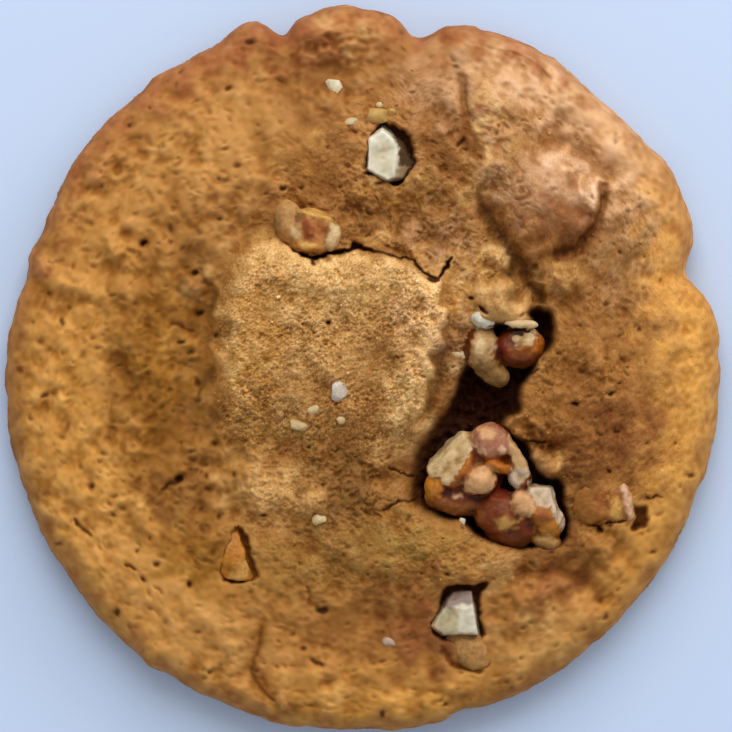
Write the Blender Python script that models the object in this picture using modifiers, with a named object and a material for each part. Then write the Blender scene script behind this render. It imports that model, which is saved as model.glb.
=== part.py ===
"""White chocolate walnut cookie: one baked round of dough with the nuts and chocolate set in it.

The cookie lies flat. X points right and Y up as seen from above, Z is up, and the origin is the
middle of the round at the level that it stands on. Shapes are worked out in millimetres and the
finished meshes are in metres.
"""

import math

import bmesh
import bpy
import numpy as np

MM = 0.001

# ---- driving dimensions, mm
MEAN_RADIUS = 43.3          # of the outline
WAIST_HEIGHT = 2.4          # height at which the edge is widest
FOOT_INSET = 3.4            # how far in from the edge the flat underside starts
EDGE_ROUNDING = 4.6         # width of the rounded edge, from above
CROWN_HEIGHT = 8.8          # plain crust in the middle, before its lumps and hollows
RIM_DROP = 1.6              # how much lower the plain crust is at the rim
RIM_START = 0.62            # share of the radius at which the crust starts to fall away
PLATEAU_HEIGHT = 12.2       # the lifted slab of crust in the middle
PLATEAU_DIP = 1.8           # how far the slab sinks towards its south end
CREST_RISE = 1.7            # of the ridge along the slab's east edge
CREST_HALF_WIDTH = 2.4
MOAT_DEPTH = 1.5            # of the hollow round the slab's west side
MOAT_HALF_WIDTH = 2.4
TONGUE_RISE = 1.4           # of the tongue of crust south of the opening
CREVICE_FLOOR = 4.6         # the torn opening that holds the two large walnuts
SETTING_GAP = 0.4           # air between a nut and the pocket that it sits in
CHOCOLATE_WEAR = 0.35       # width of the worn edges of the chocolate

# How softly an edge in the crust is rounded, as the mm that it is blurred by.
SLAB_EDGE = 0.4             # of the slab to the north and east
SLAB_WEST_EDGE = 1.15
SLAB_SOUTH_EDGE = 2.2
LUMP_EDGE = 0.4
FURROW_EDGE = 0.2
MOAT_EDGE = 0.8
TONGUE_EDGE = 0.9
CREVICE_EDGE = 0.35

UNEVENNESS = 0.07           # of the whole crust, mean height of its small rises
UNEVEN_SIZE = 5.5           # how far apart they are
UNEVEN_WAVES = 40
UNEVEN_SEED = 7

# ---- fineness
MAP_REACH = 48.0            # half the side of the height map
MAP_PITCH = 0.3
DOUGH_CUTS = 62             # of each edge of the cube that becomes the dough
TOP_SHARE = 0.93            # share of the way round that the upper skin takes, from pole to pole
CROWDING = 1.15             # above 1 the skin's points crowd towards the rim
DOUGH_TRIANGLES = 7200
IRONING_PASSES = 40
STEEPEST = 0.05             # upward part of the normal of the steepest wall that is left as it is
FOLD_LEVEL = 3.0            # folds are looked for above this height
IRONED_RADIUS = 40.0        # and within this radius
NUT_VOXEL = 0.5
POCKET_VOXEL = 0.9
LARGE_NUT_TRIANGLES = 680
SMALL_NUT_TRIANGLES = 300

# ---- the outline: waves round the whole edge, then single lumps and notches
EDGE_WAVES = ((1, 0.75, 237.0), (2, 0.20, 60.0))    # waves, height mm, bearing of the crest
EDGE_LUMPS = (                                      # bearing, half width in degrees, height mm
    (16.0, 4.5, -2.5), (33.0, 7.0, 1.0), (62.0, 8.0, 0.8), (81.0, 3.6, -2.6), (94.0, 5.0, 0.9),
    (104.0, 2.2, -1.9), (109.0, 3.5, 1.1), (162.0, 14.0, -0.8), (234.0, 1.8, 0.6),
    (286.0, 3.0, -0.5),
)

# ---- places on the crust, mm
PLATEAU = (
    (-15.2, 13.2), (-12.4, 15.2), (-9.6, 14.8), (-7.4, 13.2), (-5.2, 12.7), (-3.0, 13.8),
    (0.2, 13.6), (5.2, 12.7), (8.2, 10.8), (10.4, 9.3), (9.8, 5.0), (8.2, 0.8), (7.6, -2.5),
    (7.0, -6.0), (4.6, -9.5), (-1.0, -10.5), (-6.0, -10.4), (-10.5, -8.6), (-14.2, -9.6),
    (-16.8, -7.0), (-17.6, -1.5), (-17.4, 4.5), (-16.6, 9.0),
)
PLATEAU_CREST = ((10.0, 9.2), (8.6, 4.5), (7.2, 0.2), (6.4, -4.0), (5.2, -8.5))
PLATEAU_SWELLS = (          # laid out like SWELLS below
    (-3.0, 10.6, 11.0, 2.6, 0, 0.9), (-14.5, 2.0, 2.5, 10.0, 0, 0.4), (1.8, 1.0, 1.3, 2.6, 0, -0.5),
)
MOAT = ((-6.5, 21.8), (-11.2, 18.4), (-15.0, 14.2), (-17.8, 9.6), (-19.4, 4.0), (-19.6, -2.0), (-18.8, -8.0))
CREVICE = (
    (12.0, 0.2), (10.9, -3.4), (9.4, -5.8), (7.2, -8.4), (6.1, -11.0), (5.8, -15.6), (7.0, -17.4),
    (11.2, -18.6), (13.0, -20.6), (16.4, -21.8), (20.4, -22.0), (23.8, -21.4), (24.9, -18.6),
    (23.6, -14.6), (22.6, -13.4), (20.2, -11.8), (18.7, -9.2), (18.2, -7.0), (18.9, -5.6),
    (18.5, -2.6), (20.6, 0.8), (22.3, 3.6), (22.5, 6.6), (20.8, 7.6), (20.0, 4.5), (16.0, 1.0),
)
TONGUE = (
    (-8.0, -16.0), (0.0, -13.0), (5.8, -15.5), (9.0, -18.4), (13.5, -20.4), (18.0, -22.5),
    (19.0, -24.2), (14.5, -25.8), (8.0, -26.4), (1.0, -25.4), (-5.0, -22.0),
)

# Broad rises and hollows: x, y, radius across, radius along, turn in degrees, height mm.
SWELLS = (
    (-33.5, -2.0, 5.0, 22.0, 0, 0.6), (-23.0, 0.0, 7.0, 16.0, 0, -1.3), (-19.0, 27.0, 9.0, 6.0, 30, 0.7),
    (-26.0, -24.0, 9.0, 6.0, -40, 0.6), (5.0, 18.5, 6.5, 3.6, -14, -1.5), (-5.5, 35.0, 6.0, 3.0, 10, -1.2),
    (-3.0, 40.5, 6.0, 3.0, 0, 1.6), (-14.0, 40.2, 2.4, 2.0, 0, 0.9), (15.5, 31.0, 7.0, 6.0, -25, 2.0),
    (14.6, 27.0, 1.5, 5.5, -4, 0.9), (31.5, 22.0, 4.0, 9.0, 25, 1.4), (8.0, 29.0, 2.6, 5.5, 0, -0.9),
    (-2.0, 28.0, 4.0, 5.0, 0, 0.6), (-12.0, -14.5, 4.5, 4.0, 0, 1.3), (-20.0, -15.5, 5.0, 2.5, -10, -0.5),
    (-7.0, -38.0, 4.5, 4.0, 0, 0.8), (-10.0, -27.0, 6.0, 5.0, 0, 0.5), (-5.0, -32.0, 3.0, 4.0, 30, -0.7),
    (2.0, -30.0, 6.0, 3.6, 0, -0.9), (31.0, -1.0, 10.5, 13.5, 0, 3.3), (31.0, 10.5, 2.2, 5.0, -15, -1.2),
    (36.0, 5.0, 5.0, 7.0, 0, 0.8), (22.6, 10.4, 2.2, 1.8, 0, 0.8), (11.0, 1.5, 2.2, 4.5, -20, 1.0),
    (21.0, -29.0, 4.5, 3.5, 0, 1.0), (33.0, -18.0, 1.0, 1.8, 0, -1.6), (19.8, -10.0, 2.2, 3.0, 35, -2.4),
    (18.5, 20.8, 4.5, 5.0, 0, 1.6), (-4.0, -14.0, 4.0, 4.0, 0, 0.5), (4.0, -12.0, 2.5, 5.0, 25, -0.6),
    (-16.4, -22.8, 2.8, 3.6, 12, -1.4), (29.4, -16.4, 4.0, 4.0, 0, 0.5),
    (20.5, 33.5, 3.5, 2.2, -35, 0.7), (-27.0, 12.0, 6.0, 6.0, 0, 0.4), (-31.0, -14.0, 4.0, 6.0, 20, 0.4),
    (-17.0, -32.0, 7.0, 4.0, -20, 0.5), (36.0, -14.0, 4.0, 6.0, -30, 0.6), (25.0, -33.0, 6.0, 3.0, 30, 0.4),
)
# Lumps with a clear edge, in the same order.
LUMPS = (
    (22.8, 19.8, 6.2, 6.2, 0, 3.0), (14.6, 13.4, 3.2, 2.4, -20, 1.8), (15.4, 7.4, 5.6, 3.4, -30, 3.2),
    (27.2, -21.8, 3.0, 3.0, 0, 1.6), (0.2, 20.4, 3.6, 1.3, 5, 0.9),
)
# Furrows and splits: half width mm, depth mm, and the points that they run through.
FURROWS = (
    (1.0, 4.2, ((29.8, 21.5), (28.6, 18.0), (26.6, 14.6), (23.4, 12.8))),
    (1.6, 1.4, ((24.5, 28.0), (28.4, 25.6), (30.2, 22.4))),
    (1.3, 2.3, ((13.6, 20.5), (14.8, 17.6), (17.0, 14.6), (18.6, 12.0), (19.6, 9.6), (21.0, 8.0))),
    (0.8, 1.1, ((11.4, 34.6), (11.8, 31.0), (12.1, 28.5), (11.9, 25.6))),
    (0.9, 0.9, ((18.5, -25.2), (22.5, -24.5), (26.0, -25.5), (28.8, -28.0))),
    (0.6, 2.4, ((-15.2, -19.4), (-14.2, -21.5), (-13.3, -24.6), (-13.6, -25.8), (-17.0, -26.2))),
    (0.8, 2.6, ((1.6, 29.3), (4.2, 29.0), (5.7, 27.0), (6.0, 24.4), (4.9, 22.4))),
    (0.8, 2.4, ((9.4, -26.8), (12.9, -26.8), (13.6, -29.0), (14.2, -32.0))),
    (0.7, 1.0, ((-12.5, -31.2), (-12.9, -33.6), (-13.8, -36.6), (-12.4, -39.0), (-10.2, -42.0))),
)

# ---- what is set in the dough. A lobe is x, y, z of its middle, its three radii and its turn about
# Z in degrees; a cut is a point on the cut face and the way that the face looks.
LARGE_WALNUT = (
    (12.4, -12.0, 8.0, 5.2, 4.4, 4.0, -20), (15.2, -9.6, 9.3, 3.2, 2.3, 3.0, -35),
    (12.8, -14.2, 10.0, 2.1, 1.7, 2.3, 0), (8.9, -14.6, 7.6, 2.0, 2.1, 2.6, 0),
    (18.6, -17.4, 7.8, 4.6, 3.2, 3.8, -25), (21.2, -16.8, 8.7, 2.1, 2.7, 3.4, 20),
    (21.2, -20.2, 8.2, 2.1, 1.2, 2.4, -10), (18.0, -12.2, 8.8, 1.6, 1.7, 2.4, 0),
    (12.6, -16.2, 7.2, 4.8, 1.8, 2.4, -12), (15.6, -19.4, 7.4, 2.6, 1.6, 2.4, -15),
)
LARGE_WALNUT_CUTS = (((9.6, -11.4, 9.4), (-0.75, 0.45, 0.85)), ((22.4, -16.6, 9.4), (0.75, 0.35, 0.9)))
RIGHT_WALNUT = (
    (18.0, 2.4, 8.2, 3.2, 2.6, 3.4, 10), (14.4, 1.8, 8.6, 2.7, 2.7, 3.0, 0),
    (15.2, -0.2, 8.0, 2.2, 1.8, 3.0, 25), (13.9, 5.4, 9.8, 1.6, 1.1, 1.8, -20),
)
RIGHT_WALNUT_CUTS = (((18.4, 3.2, 11.0), (0.1, 0.3, 1.0)),)
NORTH_WALNUT = (
    (-6.9, 16.6, 9.2, 3.4, 2.7, 2.4, -15), (-9.2, 17.4, 9.8, 1.4, 2.5, 2.0, 20),
    (-3.9, 15.8, 9.6, 1.1, 2.1, 2.0, -20), (-6.4, 14.9, 9.2, 2.6, 1.1, 1.8, -5),
)
SOUTHWEST_WALNUT = ((-15.9, -22.8, 6.8, 2.1, 3.2, 2.2, 12), (-18.6, -21.8, 7.2, 1.0, 1.7, 1.5, 0))
EAST_WALNUT = ((28.6, -16.4, 9.0, 2.4, 2.6, 2.2, 0), (30.6, -16.2, 9.2, 1.1, 2.2, 1.9, 0))
SOUTH_WALNUT = ((11.6, -34.0, 8.0, 2.3, 1.9, 2.0, -10), (13.0, -34.6, 7.8, 1.3, 1.4, 1.7, 0))

# A chocolate piece is chopped from a block: middle, three half sides, turn, and its cuts.
NORTH_CHOCOLATE = ((2.7, 25.3, 8.0), (2.4, 2.9, 2.2), 8.0)
NORTH_CHOCOLATE_CUTS = (
    ((4.6, 25.6, 8.8), (0.9, 0.25, 0.55)), ((1.0, 27.6, 8.8), (-0.65, 0.8, 0.3)),
    ((1.0, 23.0, 8.8), (-0.6, -0.8, 0.3)), ((4.4, 23.2, 8.8), (0.6, -0.8, 0.3)),
)
SOUTH_CHOCOLATE = ((11.3, -29.6, 7.4), (2.3, 2.2, 2.2), -8.0)
SOUTH_CHOCOLATE_CUTS = (
    ((9.6, -28.6, 8.4), (-0.8, 0.5, 0.45)), ((11.8, -30.6, 9.4), (0.25, -0.5, 0.9)),
    ((10.4, -29.6, 9.3), (-0.35, 0.1, 0.9)),
)

# Chips that lie fused to the crust: x, y, half length, half width, turn, share of it standing proud.
CHIPS = (
    (-3.7, 34.0, 1.9, 0.8, -56, 0.55), (-0.3, 30.0, 1.0, 0.8, 10, 0.5), (2.2, 30.6, 1.5, 0.8, -12, 0.5),
    (-1.9, 29.1, 1.1, 0.6, 15, 0.45), (-3.4, -2.9, 1.25, 1.45, 10, 0.5), (-8.2, -7.1, 1.3, 0.7, -10, 0.4),
    (-6.3, -5.2, 0.8, 0.6, 20, 0.4), (-3.0, -6.5, 0.6, 0.5, 0, 0.4), (-5.6, -18.4, 0.9, 0.8, 0, 0.4),
    (2.7, -33.2, 0.9, 0.6, -30, 0.4),
)


# ---- rules for the height of the crust

def ease(low, high, value):
    t = np.clip((value - low) / (high - low), 0.0, 1.0)
    return t * t * (3.0 - 2.0 * t)


def ellipse_reach(x, y, cx, cy, across, along, turn):
    """Distance from the middle of an ellipse, counted in its own radii."""
    c, s = math.cos(math.radians(turn)), math.sin(math.radians(turn))
    dx, dy = x - cx, y - cy
    return np.hypot((dx * c + dy * s) / across, (dy * c - dx * s) / along)


def gap_to_path(x, y, path):
    """Distance to a line through the points, and the share of the line passed by then."""
    nearest = np.full(x.shape, np.inf)
    passed = np.zeros(x.shape)
    spans = len(path) - 1
    for i in range(spans):
        (ax, ay), (bx, by) = path[i], path[i + 1]
        ux, uy = bx - ax, by - ay
        t = np.clip(((x - ax) * ux + (y - ay) * uy) / (ux * ux + uy * uy), 0.0, 1.0)
        gap = np.hypot(x - ax - t * ux, y - ay - t * uy)
        passed = np.where(gap < nearest, (i + t) / spans, passed)
        nearest = np.minimum(gap, nearest)
    return nearest, passed


def inside(x, y, outline):
    """1 within a closed outline and 0 outside it."""
    hit = np.zeros(x.shape, bool)
    for (ax, ay), (bx, by) in zip(outline, outline[1:] + outline[:1]):
        crosses = (ay > y) != (by > y)
        hit ^= crosses & (x < (bx - ax) * (y - ay) / (by - ay if by != ay else 1.0) + ax)
    return hit.astype(float)


def edge_radius(bearing):
    """Radius of the outline at a bearing, both as arrays."""
    radius = np.full_like(bearing, MEAN_RADIUS)
    for waves, height, crest in EDGE_WAVES:
        radius += height * np.cos(waves * (bearing - math.radians(crest)))
    for at, half_width, height in EDGE_LUMPS:
        away = (np.degrees(bearing) - at + 180.0) % 360.0 - 180.0
        radius += height * np.exp(-(away / half_width) ** 2)
    return radius


def uneven(x, y, size, seed):
    """A gently lumpy field, mean 0 and spread 1: waves of about `size` mm run every way."""
    draw = np.random.default_rng(seed)
    field = np.zeros(np.shape(x))
    for _ in range(UNEVEN_WAVES):
        way, length, phase = draw.uniform(0, math.pi), draw.uniform(0.7, 1.5), draw.uniform(0, 2 * math.pi)
        field += np.sin((x * math.cos(way) + y * math.sin(way)) * 2.0 * math.pi / (size * length) + phase)
    return field / math.sqrt(UNEVEN_WAVES / 2.0)


class CrustMap:
    """The height of the crust on a square grid, without the rounding of the edge."""

    def __init__(self):
        count = int(2 * MAP_REACH / MAP_PITCH)
        line = (np.arange(count) + 0.5) * MAP_PITCH - MAP_REACH
        self.x, self.y = np.meshgrid(line, line)
        across, along = np.meshgrid(np.fft.rfftfreq(count, MAP_PITCH), np.fft.fftfreq(count, MAP_PITCH))
        self.frequency2 = across ** 2 + along ** 2
        self.height = self.plain_crust()
        self.add_lumps()
        self.add_plateau()
        self.height += UNEVENNESS * uneven(self.x, self.y, UNEVEN_SIZE, UNEVEN_SEED)
        self.open_crevice()

    def soften(self, field, spread):
        """The field blurred by `spread` mm."""
        pass_through = np.exp(-2.0 * math.pi ** 2 * spread ** 2 * self.frequency2)
        return np.fft.irfft2(np.fft.rfft2(field) * pass_through, s=field.shape)

    def plain_crust(self):
        radius = np.hypot(self.x, self.y)
        edge = edge_radius(np.arctan2(self.y, self.x))
        return CROWN_HEIGHT - RIM_DROP * ease(RIM_START, 1.0, radius / edge)

    def add_lumps(self):
        x, y = self.x, self.y
        for cx, cy, across, along, turn, height in SWELLS:
            self.height += height * np.exp(-ellipse_reach(x, y, cx, cy, across, along, turn) ** 2)
        for cx, cy, across, along, turn, height in LUMPS:
            out = ellipse_reach(x, y, cx, cy, across, along, turn)
            dome = height * np.sqrt(np.clip(1.0 - out ** 2, 0.0, 1.0))
            self.height += self.soften(dome, LUMP_EDGE)
        for half_width, depth, path in FURROWS:
            gap, _ = gap_to_path(x, y, path)
            self.height -= self.soften(depth * np.exp(-(gap / half_width) ** 2), FURROW_EDGE)
        gap, passed = gap_to_path(x, y, MOAT)
        hollow = MOAT_DEPTH * np.exp(-(gap / MOAT_HALF_WIDTH) ** 2) * ease(1.0, 0.6, passed)
        self.height -= self.soften(hollow, MOAT_EDGE)
        self.height += TONGUE_RISE * self.soften(inside(x, y, TONGUE), TONGUE_EDGE)

    def add_plateau(self):
        x, y = self.x, self.y
        slab = inside(x, y, PLATEAU)
        west, south = ease(-5.0, -15.0, x), ease(-3.0, -9.0, y)
        rise = self.soften(slab, SLAB_EDGE) * (1.0 - west) + self.soften(slab, SLAB_WEST_EDGE) * west
        rise = rise * (1.0 - south) + self.soften(slab, SLAB_SOUTH_EDGE) * south
        gap, passed = gap_to_path(x, y, PLATEAU_CREST)
        level = PLATEAU_HEIGHT - PLATEAU_DIP * ease(3.0, -11.0, y)
        level += CREST_RISE * np.exp(-(gap / CREST_HALF_WIDTH) ** 2) * (1.0 - 0.4 * passed)
        for cx, cy, across, along, turn, height in PLATEAU_SWELLS:
            level += height * np.exp(-ellipse_reach(x, y, cx, cy, across, along, turn) ** 2)
        self.height += (level - self.height) * rise

    def open_crevice(self):
        torn = self.soften(inside(self.x, self.y, CREVICE), CREVICE_EDGE)
        self.height += (CREVICE_FLOOR - self.height) * torn

    def at(self, x, y):
        """Height over the underside at points, between the grid's own points by proportion."""
        column = (np.asarray(x) + MAP_REACH) / MAP_PITCH - 0.5
        row = (np.asarray(y) + MAP_REACH) / MAP_PITCH - 0.5
        c0, r0 = np.floor(column).astype(int), np.floor(row).astype(int)
        fc, fr = column - c0, row - r0
        h = self.height
        near = h[r0, c0] * (1 - fc) + h[r0, c0 + 1] * fc
        far = h[r0 + 1, c0] * (1 - fc) + h[r0 + 1, c0 + 1] * fc
        return near * (1 - fr) + far * fr


# ---- Blender helpers

def clear_scene():
    for thing in list(bpy.data.objects):
        bpy.data.objects.remove(thing, do_unlink=True)


def collection(name):
    made = bpy.data.collections.new(name)
    bpy.context.scene.collection.children.link(made)
    return made


def move_to(thing, target):
    for holder in list(thing.users_collection):
        holder.objects.unlink(thing)
    target.objects.link(thing)


def read_points(thing):
    flat = np.empty(len(thing.data.vertices) * 3)
    thing.data.vertices.foreach_get("co", flat)
    return flat.reshape(-1, 3)


def write_points(thing, points):
    thing.data.vertices.foreach_set("co", points.ravel())
    thing.data.update()


def apply_modifier(thing, modifier):
    bpy.context.view_layer.objects.active = thing
    bpy.ops.object.modifier_apply(modifier=modifier.name)


def join(things):
    bpy.ops.object.select_all(action="DESELECT")
    for thing in things:
        thing.select_set(True)
    bpy.context.view_layer.objects.active = things[0]
    bpy.ops.object.join()
    return things[0]


def thin_to(thing, triangles):
    """Fewer triangles where the form is flattest."""
    thing.data.calc_loop_triangles()
    have = len(thing.data.loop_triangles)
    if have > triangles:
        decimate = thing.modifiers.new("thin", "DECIMATE")
        decimate.ratio = triangles / have
        apply_modifier(thing, decimate)


def iron_out_folds(thing):
    """Relax the upper skin wherever thinning has folded it over itself."""
    shape = bmesh.new()
    shape.from_mesh(thing.data)
    for _ in range(IRONING_PASSES):
        shape.normal_update()
        folded = {
            corner
            for face in shape.faces if face.normal.z < STEEPEST and face.calc_center_median().z > FOLD_LEVEL
            for corner in face.verts if corner.co.z > FOLD_LEVEL
        }
        inner = [v for v in folded if math.hypot(v.co.x, v.co.y) < IRONED_RADIUS]
        if not inner:
            break
        bmesh.ops.smooth_vert(
            shape, verts=inner, factor=0.5, use_axis_x=True, use_axis_y=True, use_axis_z=True)
    shape.to_mesh(thing.data)
    shape.free()


def drop_fins(shape):
    """Remove pairs of triangles that lie back to back on the same three corners."""
    by_corners = {}
    for face in shape.faces:
        by_corners.setdefault(frozenset(face.verts), []).append(face)
    fins = [face for faces in by_corners.values() if len(faces) > 1 for face in faces]
    bmesh.ops.delete(shape, geom=fins, context="FACES")


def finish(thing, material):
    """Triangles only, smooth shaded, facing out, in metres and with the one material."""
    shape = bmesh.new()
    shape.from_mesh(thing.data)
    bmesh.ops.triangulate(shape, faces=shape.faces)
    drop_fins(shape)
    bmesh.ops.recalc_face_normals(shape, faces=shape.faces)
    bmesh.ops.scale(shape, vec=(MM, MM, MM), verts=shape.verts)
    shape.to_mesh(thing.data)
    shape.free()
    thing.data.materials.clear()
    thing.data.materials.append(material)
    thing.data.shade_smooth()


def make_material(name, colour, roughness):
    material = bpy.data.materials.new(name)
    material.use_nodes = True
    shader = material.node_tree.nodes["Principled BSDF"]
    shader.inputs["Base Color"].default_value = (*colour, 1.0)
    shader.inputs["Roughness"].default_value = roughness
    shader.inputs["Metallic"].default_value = 0.0
    return material


# ---- the pieces

def make_dough(crust):
    """A finely divided cube rolled into a round, its upper skin laid over the height map."""
    bpy.ops.mesh.primitive_cube_add(size=2.0)
    dough = bpy.context.object
    dough.name = "dough"
    shape = bmesh.new()
    shape.from_mesh(dough.data)
    bmesh.ops.subdivide_edges(shape, edges=shape.edges, cuts=DOUGH_CUTS, use_grid_fill=True)
    shape.to_mesh(dough.data)
    shape.free()
    ball = read_points(dough)
    ball = np.tan(ball * math.pi / 4.0)                      # evens out the squares near the corners
    ball /= np.linalg.norm(ball, axis=1, keepdims=True)
    bearing = np.arctan2(ball[:, 1], ball[:, 0])
    way = np.sqrt((1.0 - ball[:, 2]) / 2.0)                  # 0 at the top pole, 1 at the bottom one
    upper = way <= TOP_SHARE
    share = np.where(upper, way / TOP_SHARE, np.sqrt((1.0 - way ** 2) / (1.0 - TOP_SHARE ** 2)))
    radius = edge_radius(bearing)
    share = np.where(upper, 1.0 - (1.0 - share) ** CROWDING, share)
    x, y = radius * share * np.cos(bearing), radius * share * np.sin(bearing)
    inward = radius * (1.0 - share)
    over = np.clip(inward / EDGE_ROUNDING, 0.0, 1.0)
    top = WAIST_HEIGHT + (crust.at(x, y) - WAIST_HEIGHT) * np.sqrt(1.0 - (1.0 - over) ** 2)
    under = np.clip(inward / FOOT_INSET, 0.0, 1.0)
    bottom = WAIST_HEIGHT * (1.0 - np.sqrt(1.0 - (1.0 - under) ** 2))
    write_points(dough, np.column_stack([x, y, np.where(upper, top, bottom)]))
    thin_to(dough, DOUGH_TRIANGLES)
    iron_out_folds(dough)
    return dough


def run_lobes_together(name, lobes, voxel, swell=0.0):
    """One rounded body out of a nut's lobes, each of them `swell` mm larger than stated."""
    balls = []
    for x, y, z, across, along, high, turn in lobes:
        bpy.ops.mesh.primitive_ico_sphere_add(
            subdivisions=3, location=(x, y, z), rotation=(0.0, 0.0, math.radians(turn)),
            scale=(across + swell, along + swell, high + swell))
        balls.append(bpy.context.object)
    nut = join(balls)
    bpy.ops.object.transform_apply(location=True, rotation=True, scale=True)
    nut.name = name
    remesh = nut.modifiers.new("run together", "REMESH")
    remesh.mode = "VOXEL"
    remesh.voxel_size = voxel
    apply_modifier(nut, remesh)
    smooth = nut.modifiers.new("round", "SMOOTH")
    smooth.factor = 0.5
    smooth.iterations = 2
    apply_modifier(nut, smooth)
    return nut


def make_nut(name, lobes, triangles, cuts):
    """Rounded lobes run together, then cut flat where the nut was chopped."""
    nut = run_lobes_together(name, lobes, NUT_VOXEL)
    cut_flat(nut, cuts)
    thin_to(nut, triangles)
    return nut


def cut_flat(thing, cuts, swell=0.0):
    """Slice the thing along each cut and close the face; `swell` mm leaves that much more on."""
    shape = bmesh.new()
    shape.from_mesh(thing.data)
    for point, way in cuts:
        normal = np.array(way) / np.linalg.norm(way)
        everything = shape.verts[:] + shape.edges[:] + shape.faces[:]
        sliced = bmesh.ops.bisect_plane(
            shape, geom=everything, plane_co=np.array(point) + normal * swell, plane_no=normal,
            clear_outer=True)
        rim = [part for part in sliced["geom_cut"] if isinstance(part, bmesh.types.BMEdge)]
        bmesh.ops.holes_fill(shape, edges=rim)
    bmesh.ops.triangulate(shape, faces=shape.faces)
    shape.to_mesh(thing.data)
    shape.free()


def make_chocolate(name, block, cuts, swell=0.0):
    """A block of chocolate with worn edges, chopped along its cuts."""
    middle, half_sides, turn = block
    bpy.ops.mesh.primitive_cube_add(
        size=2.0, location=middle, rotation=(0.0, 0.0, math.radians(turn)),
        scale=[side + swell for side in half_sides])
    piece = bpy.context.object
    piece.name = name
    bpy.ops.object.transform_apply(location=True, rotation=True, scale=True)
    cut_flat(piece, cuts, swell)
    bevel = piece.modifiers.new("worn edges", "BEVEL")
    bevel.width = CHOCOLATE_WEAR
    bevel.segments = 2
    bevel.limit_method = "ANGLE"
    bevel.angle_limit = math.radians(20.0)
    apply_modifier(piece, bevel)
    return piece


def make_chip(crust, x, y, length, width, turn, proud):
    """A crumb of nut or chocolate, sunk partly into the crust."""
    height = 0.8 * width
    z = float(crust.at(x, y)) + height * (2.0 * proud - 1.0)
    bpy.ops.mesh.primitive_ico_sphere_add(
        subdivisions=1, location=(x, y, z), rotation=(0.0, 0.0, math.radians(turn)),
        scale=(length, width, height))
    bpy.ops.object.transform_apply(location=True, rotation=True, scale=True)
    return bpy.context.object


def boolean(thing, tools, operation):
    """Join or cut the thing with all of a collection's objects, which are then removed."""
    modifier = thing.modifiers.new(operation.lower(), "BOOLEAN")
    modifier.operation = operation
    modifier.operand_type = "COLLECTION"
    modifier.collection = tools
    modifier.solver = "EXACT"
    apply_modifier(thing, modifier)
    for tool in list(tools.objects):
        bpy.data.objects.remove(tool, do_unlink=True)


def as_cutter(thing, cutters):
    thing.display_type = "WIRE"
    thing.hide_render = True
    move_to(thing, cutters)


NUTS = (
    ("walnut_large", LARGE_WALNUT, LARGE_NUT_TRIANGLES, LARGE_WALNUT_CUTS),
    ("walnut_right", RIGHT_WALNUT, LARGE_NUT_TRIANGLES, RIGHT_WALNUT_CUTS),
    ("walnut_north", NORTH_WALNUT, SMALL_NUT_TRIANGLES, ()),
    ("walnut_southwest", SOUTHWEST_WALNUT, SMALL_NUT_TRIANGLES, ()),
    ("walnut_east", EAST_WALNUT, SMALL_NUT_TRIANGLES, ()),
    ("walnut_south", SOUTH_WALNUT, SMALL_NUT_TRIANGLES, ()),
)
CHOCOLATES = (
    ("chocolate_north", NORTH_CHOCOLATE, NORTH_CHOCOLATE_CUTS),
    ("chocolate_south", SOUTH_CHOCOLATE, SOUTH_CHOCOLATE_CUTS),
)


def main():
    clear_scene()
    cookie = collection("white_chocolate_walnut_cookie")
    chips, cutters = collection("chips"), collection("cutters")
    crust = CrustMap()
    dough = make_dough(crust)
    move_to(dough, cookie)
    for chip in CHIPS:
        move_to(make_chip(crust, *chip), chips)
    boolean(dough, chips, "UNION")

    pieces = {}
    for name, lobes, triangles, cuts in NUTS:
        pieces[name] = make_nut(name, lobes, triangles, cuts)
        as_cutter(run_lobes_together(name + "_pocket", lobes, POCKET_VOXEL, SETTING_GAP), cutters)
    for name, block, cuts in CHOCOLATES:
        pieces[name] = make_chocolate(name, block, cuts)
        as_cutter(make_chocolate(name + "_pocket", block, cuts, SETTING_GAP), cutters)
    boolean(dough, cutters, "DIFFERENCE")

    crust_brown = make_material("baked_crust", (0.52, 0.29, 0.11), 0.75)
    nut_tan = make_material("walnut", (0.55, 0.36, 0.18), 0.6)
    ivory = make_material("white_chocolate", (0.78, 0.72, 0.56), 0.5)
    finish(dough, crust_brown)
    for name, piece in pieces.items():
        move_to(piece, cookie)
        finish(piece, ivory if name.startswith("chocolate") else nut_tan)
    for emptied in (chips, cutters):
        bpy.data.collections.remove(emptied)


main()
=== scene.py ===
"""White chocolate walnut cookie: the looks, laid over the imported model.

X points right and Y up as seen from above, Z is up, and the origin is the middle of the round at
the level that it stands on. Shapes are worked out in millimetres, as in the part's own source, and
every finished piece is in metres.
"""

import math

import bpy
import numpy as np
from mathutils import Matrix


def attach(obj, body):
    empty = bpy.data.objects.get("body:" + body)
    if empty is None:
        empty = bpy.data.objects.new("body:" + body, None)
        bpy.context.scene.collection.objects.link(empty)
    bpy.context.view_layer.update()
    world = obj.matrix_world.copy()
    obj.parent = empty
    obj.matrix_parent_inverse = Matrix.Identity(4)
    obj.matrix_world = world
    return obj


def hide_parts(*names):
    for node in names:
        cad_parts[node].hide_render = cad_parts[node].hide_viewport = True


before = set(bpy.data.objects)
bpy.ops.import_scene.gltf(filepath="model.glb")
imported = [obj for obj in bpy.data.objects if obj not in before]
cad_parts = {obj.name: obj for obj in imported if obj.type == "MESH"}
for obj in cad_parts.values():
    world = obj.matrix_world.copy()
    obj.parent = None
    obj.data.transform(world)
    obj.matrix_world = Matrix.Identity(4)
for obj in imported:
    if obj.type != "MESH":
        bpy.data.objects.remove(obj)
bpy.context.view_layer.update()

MM = 0.001

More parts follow.
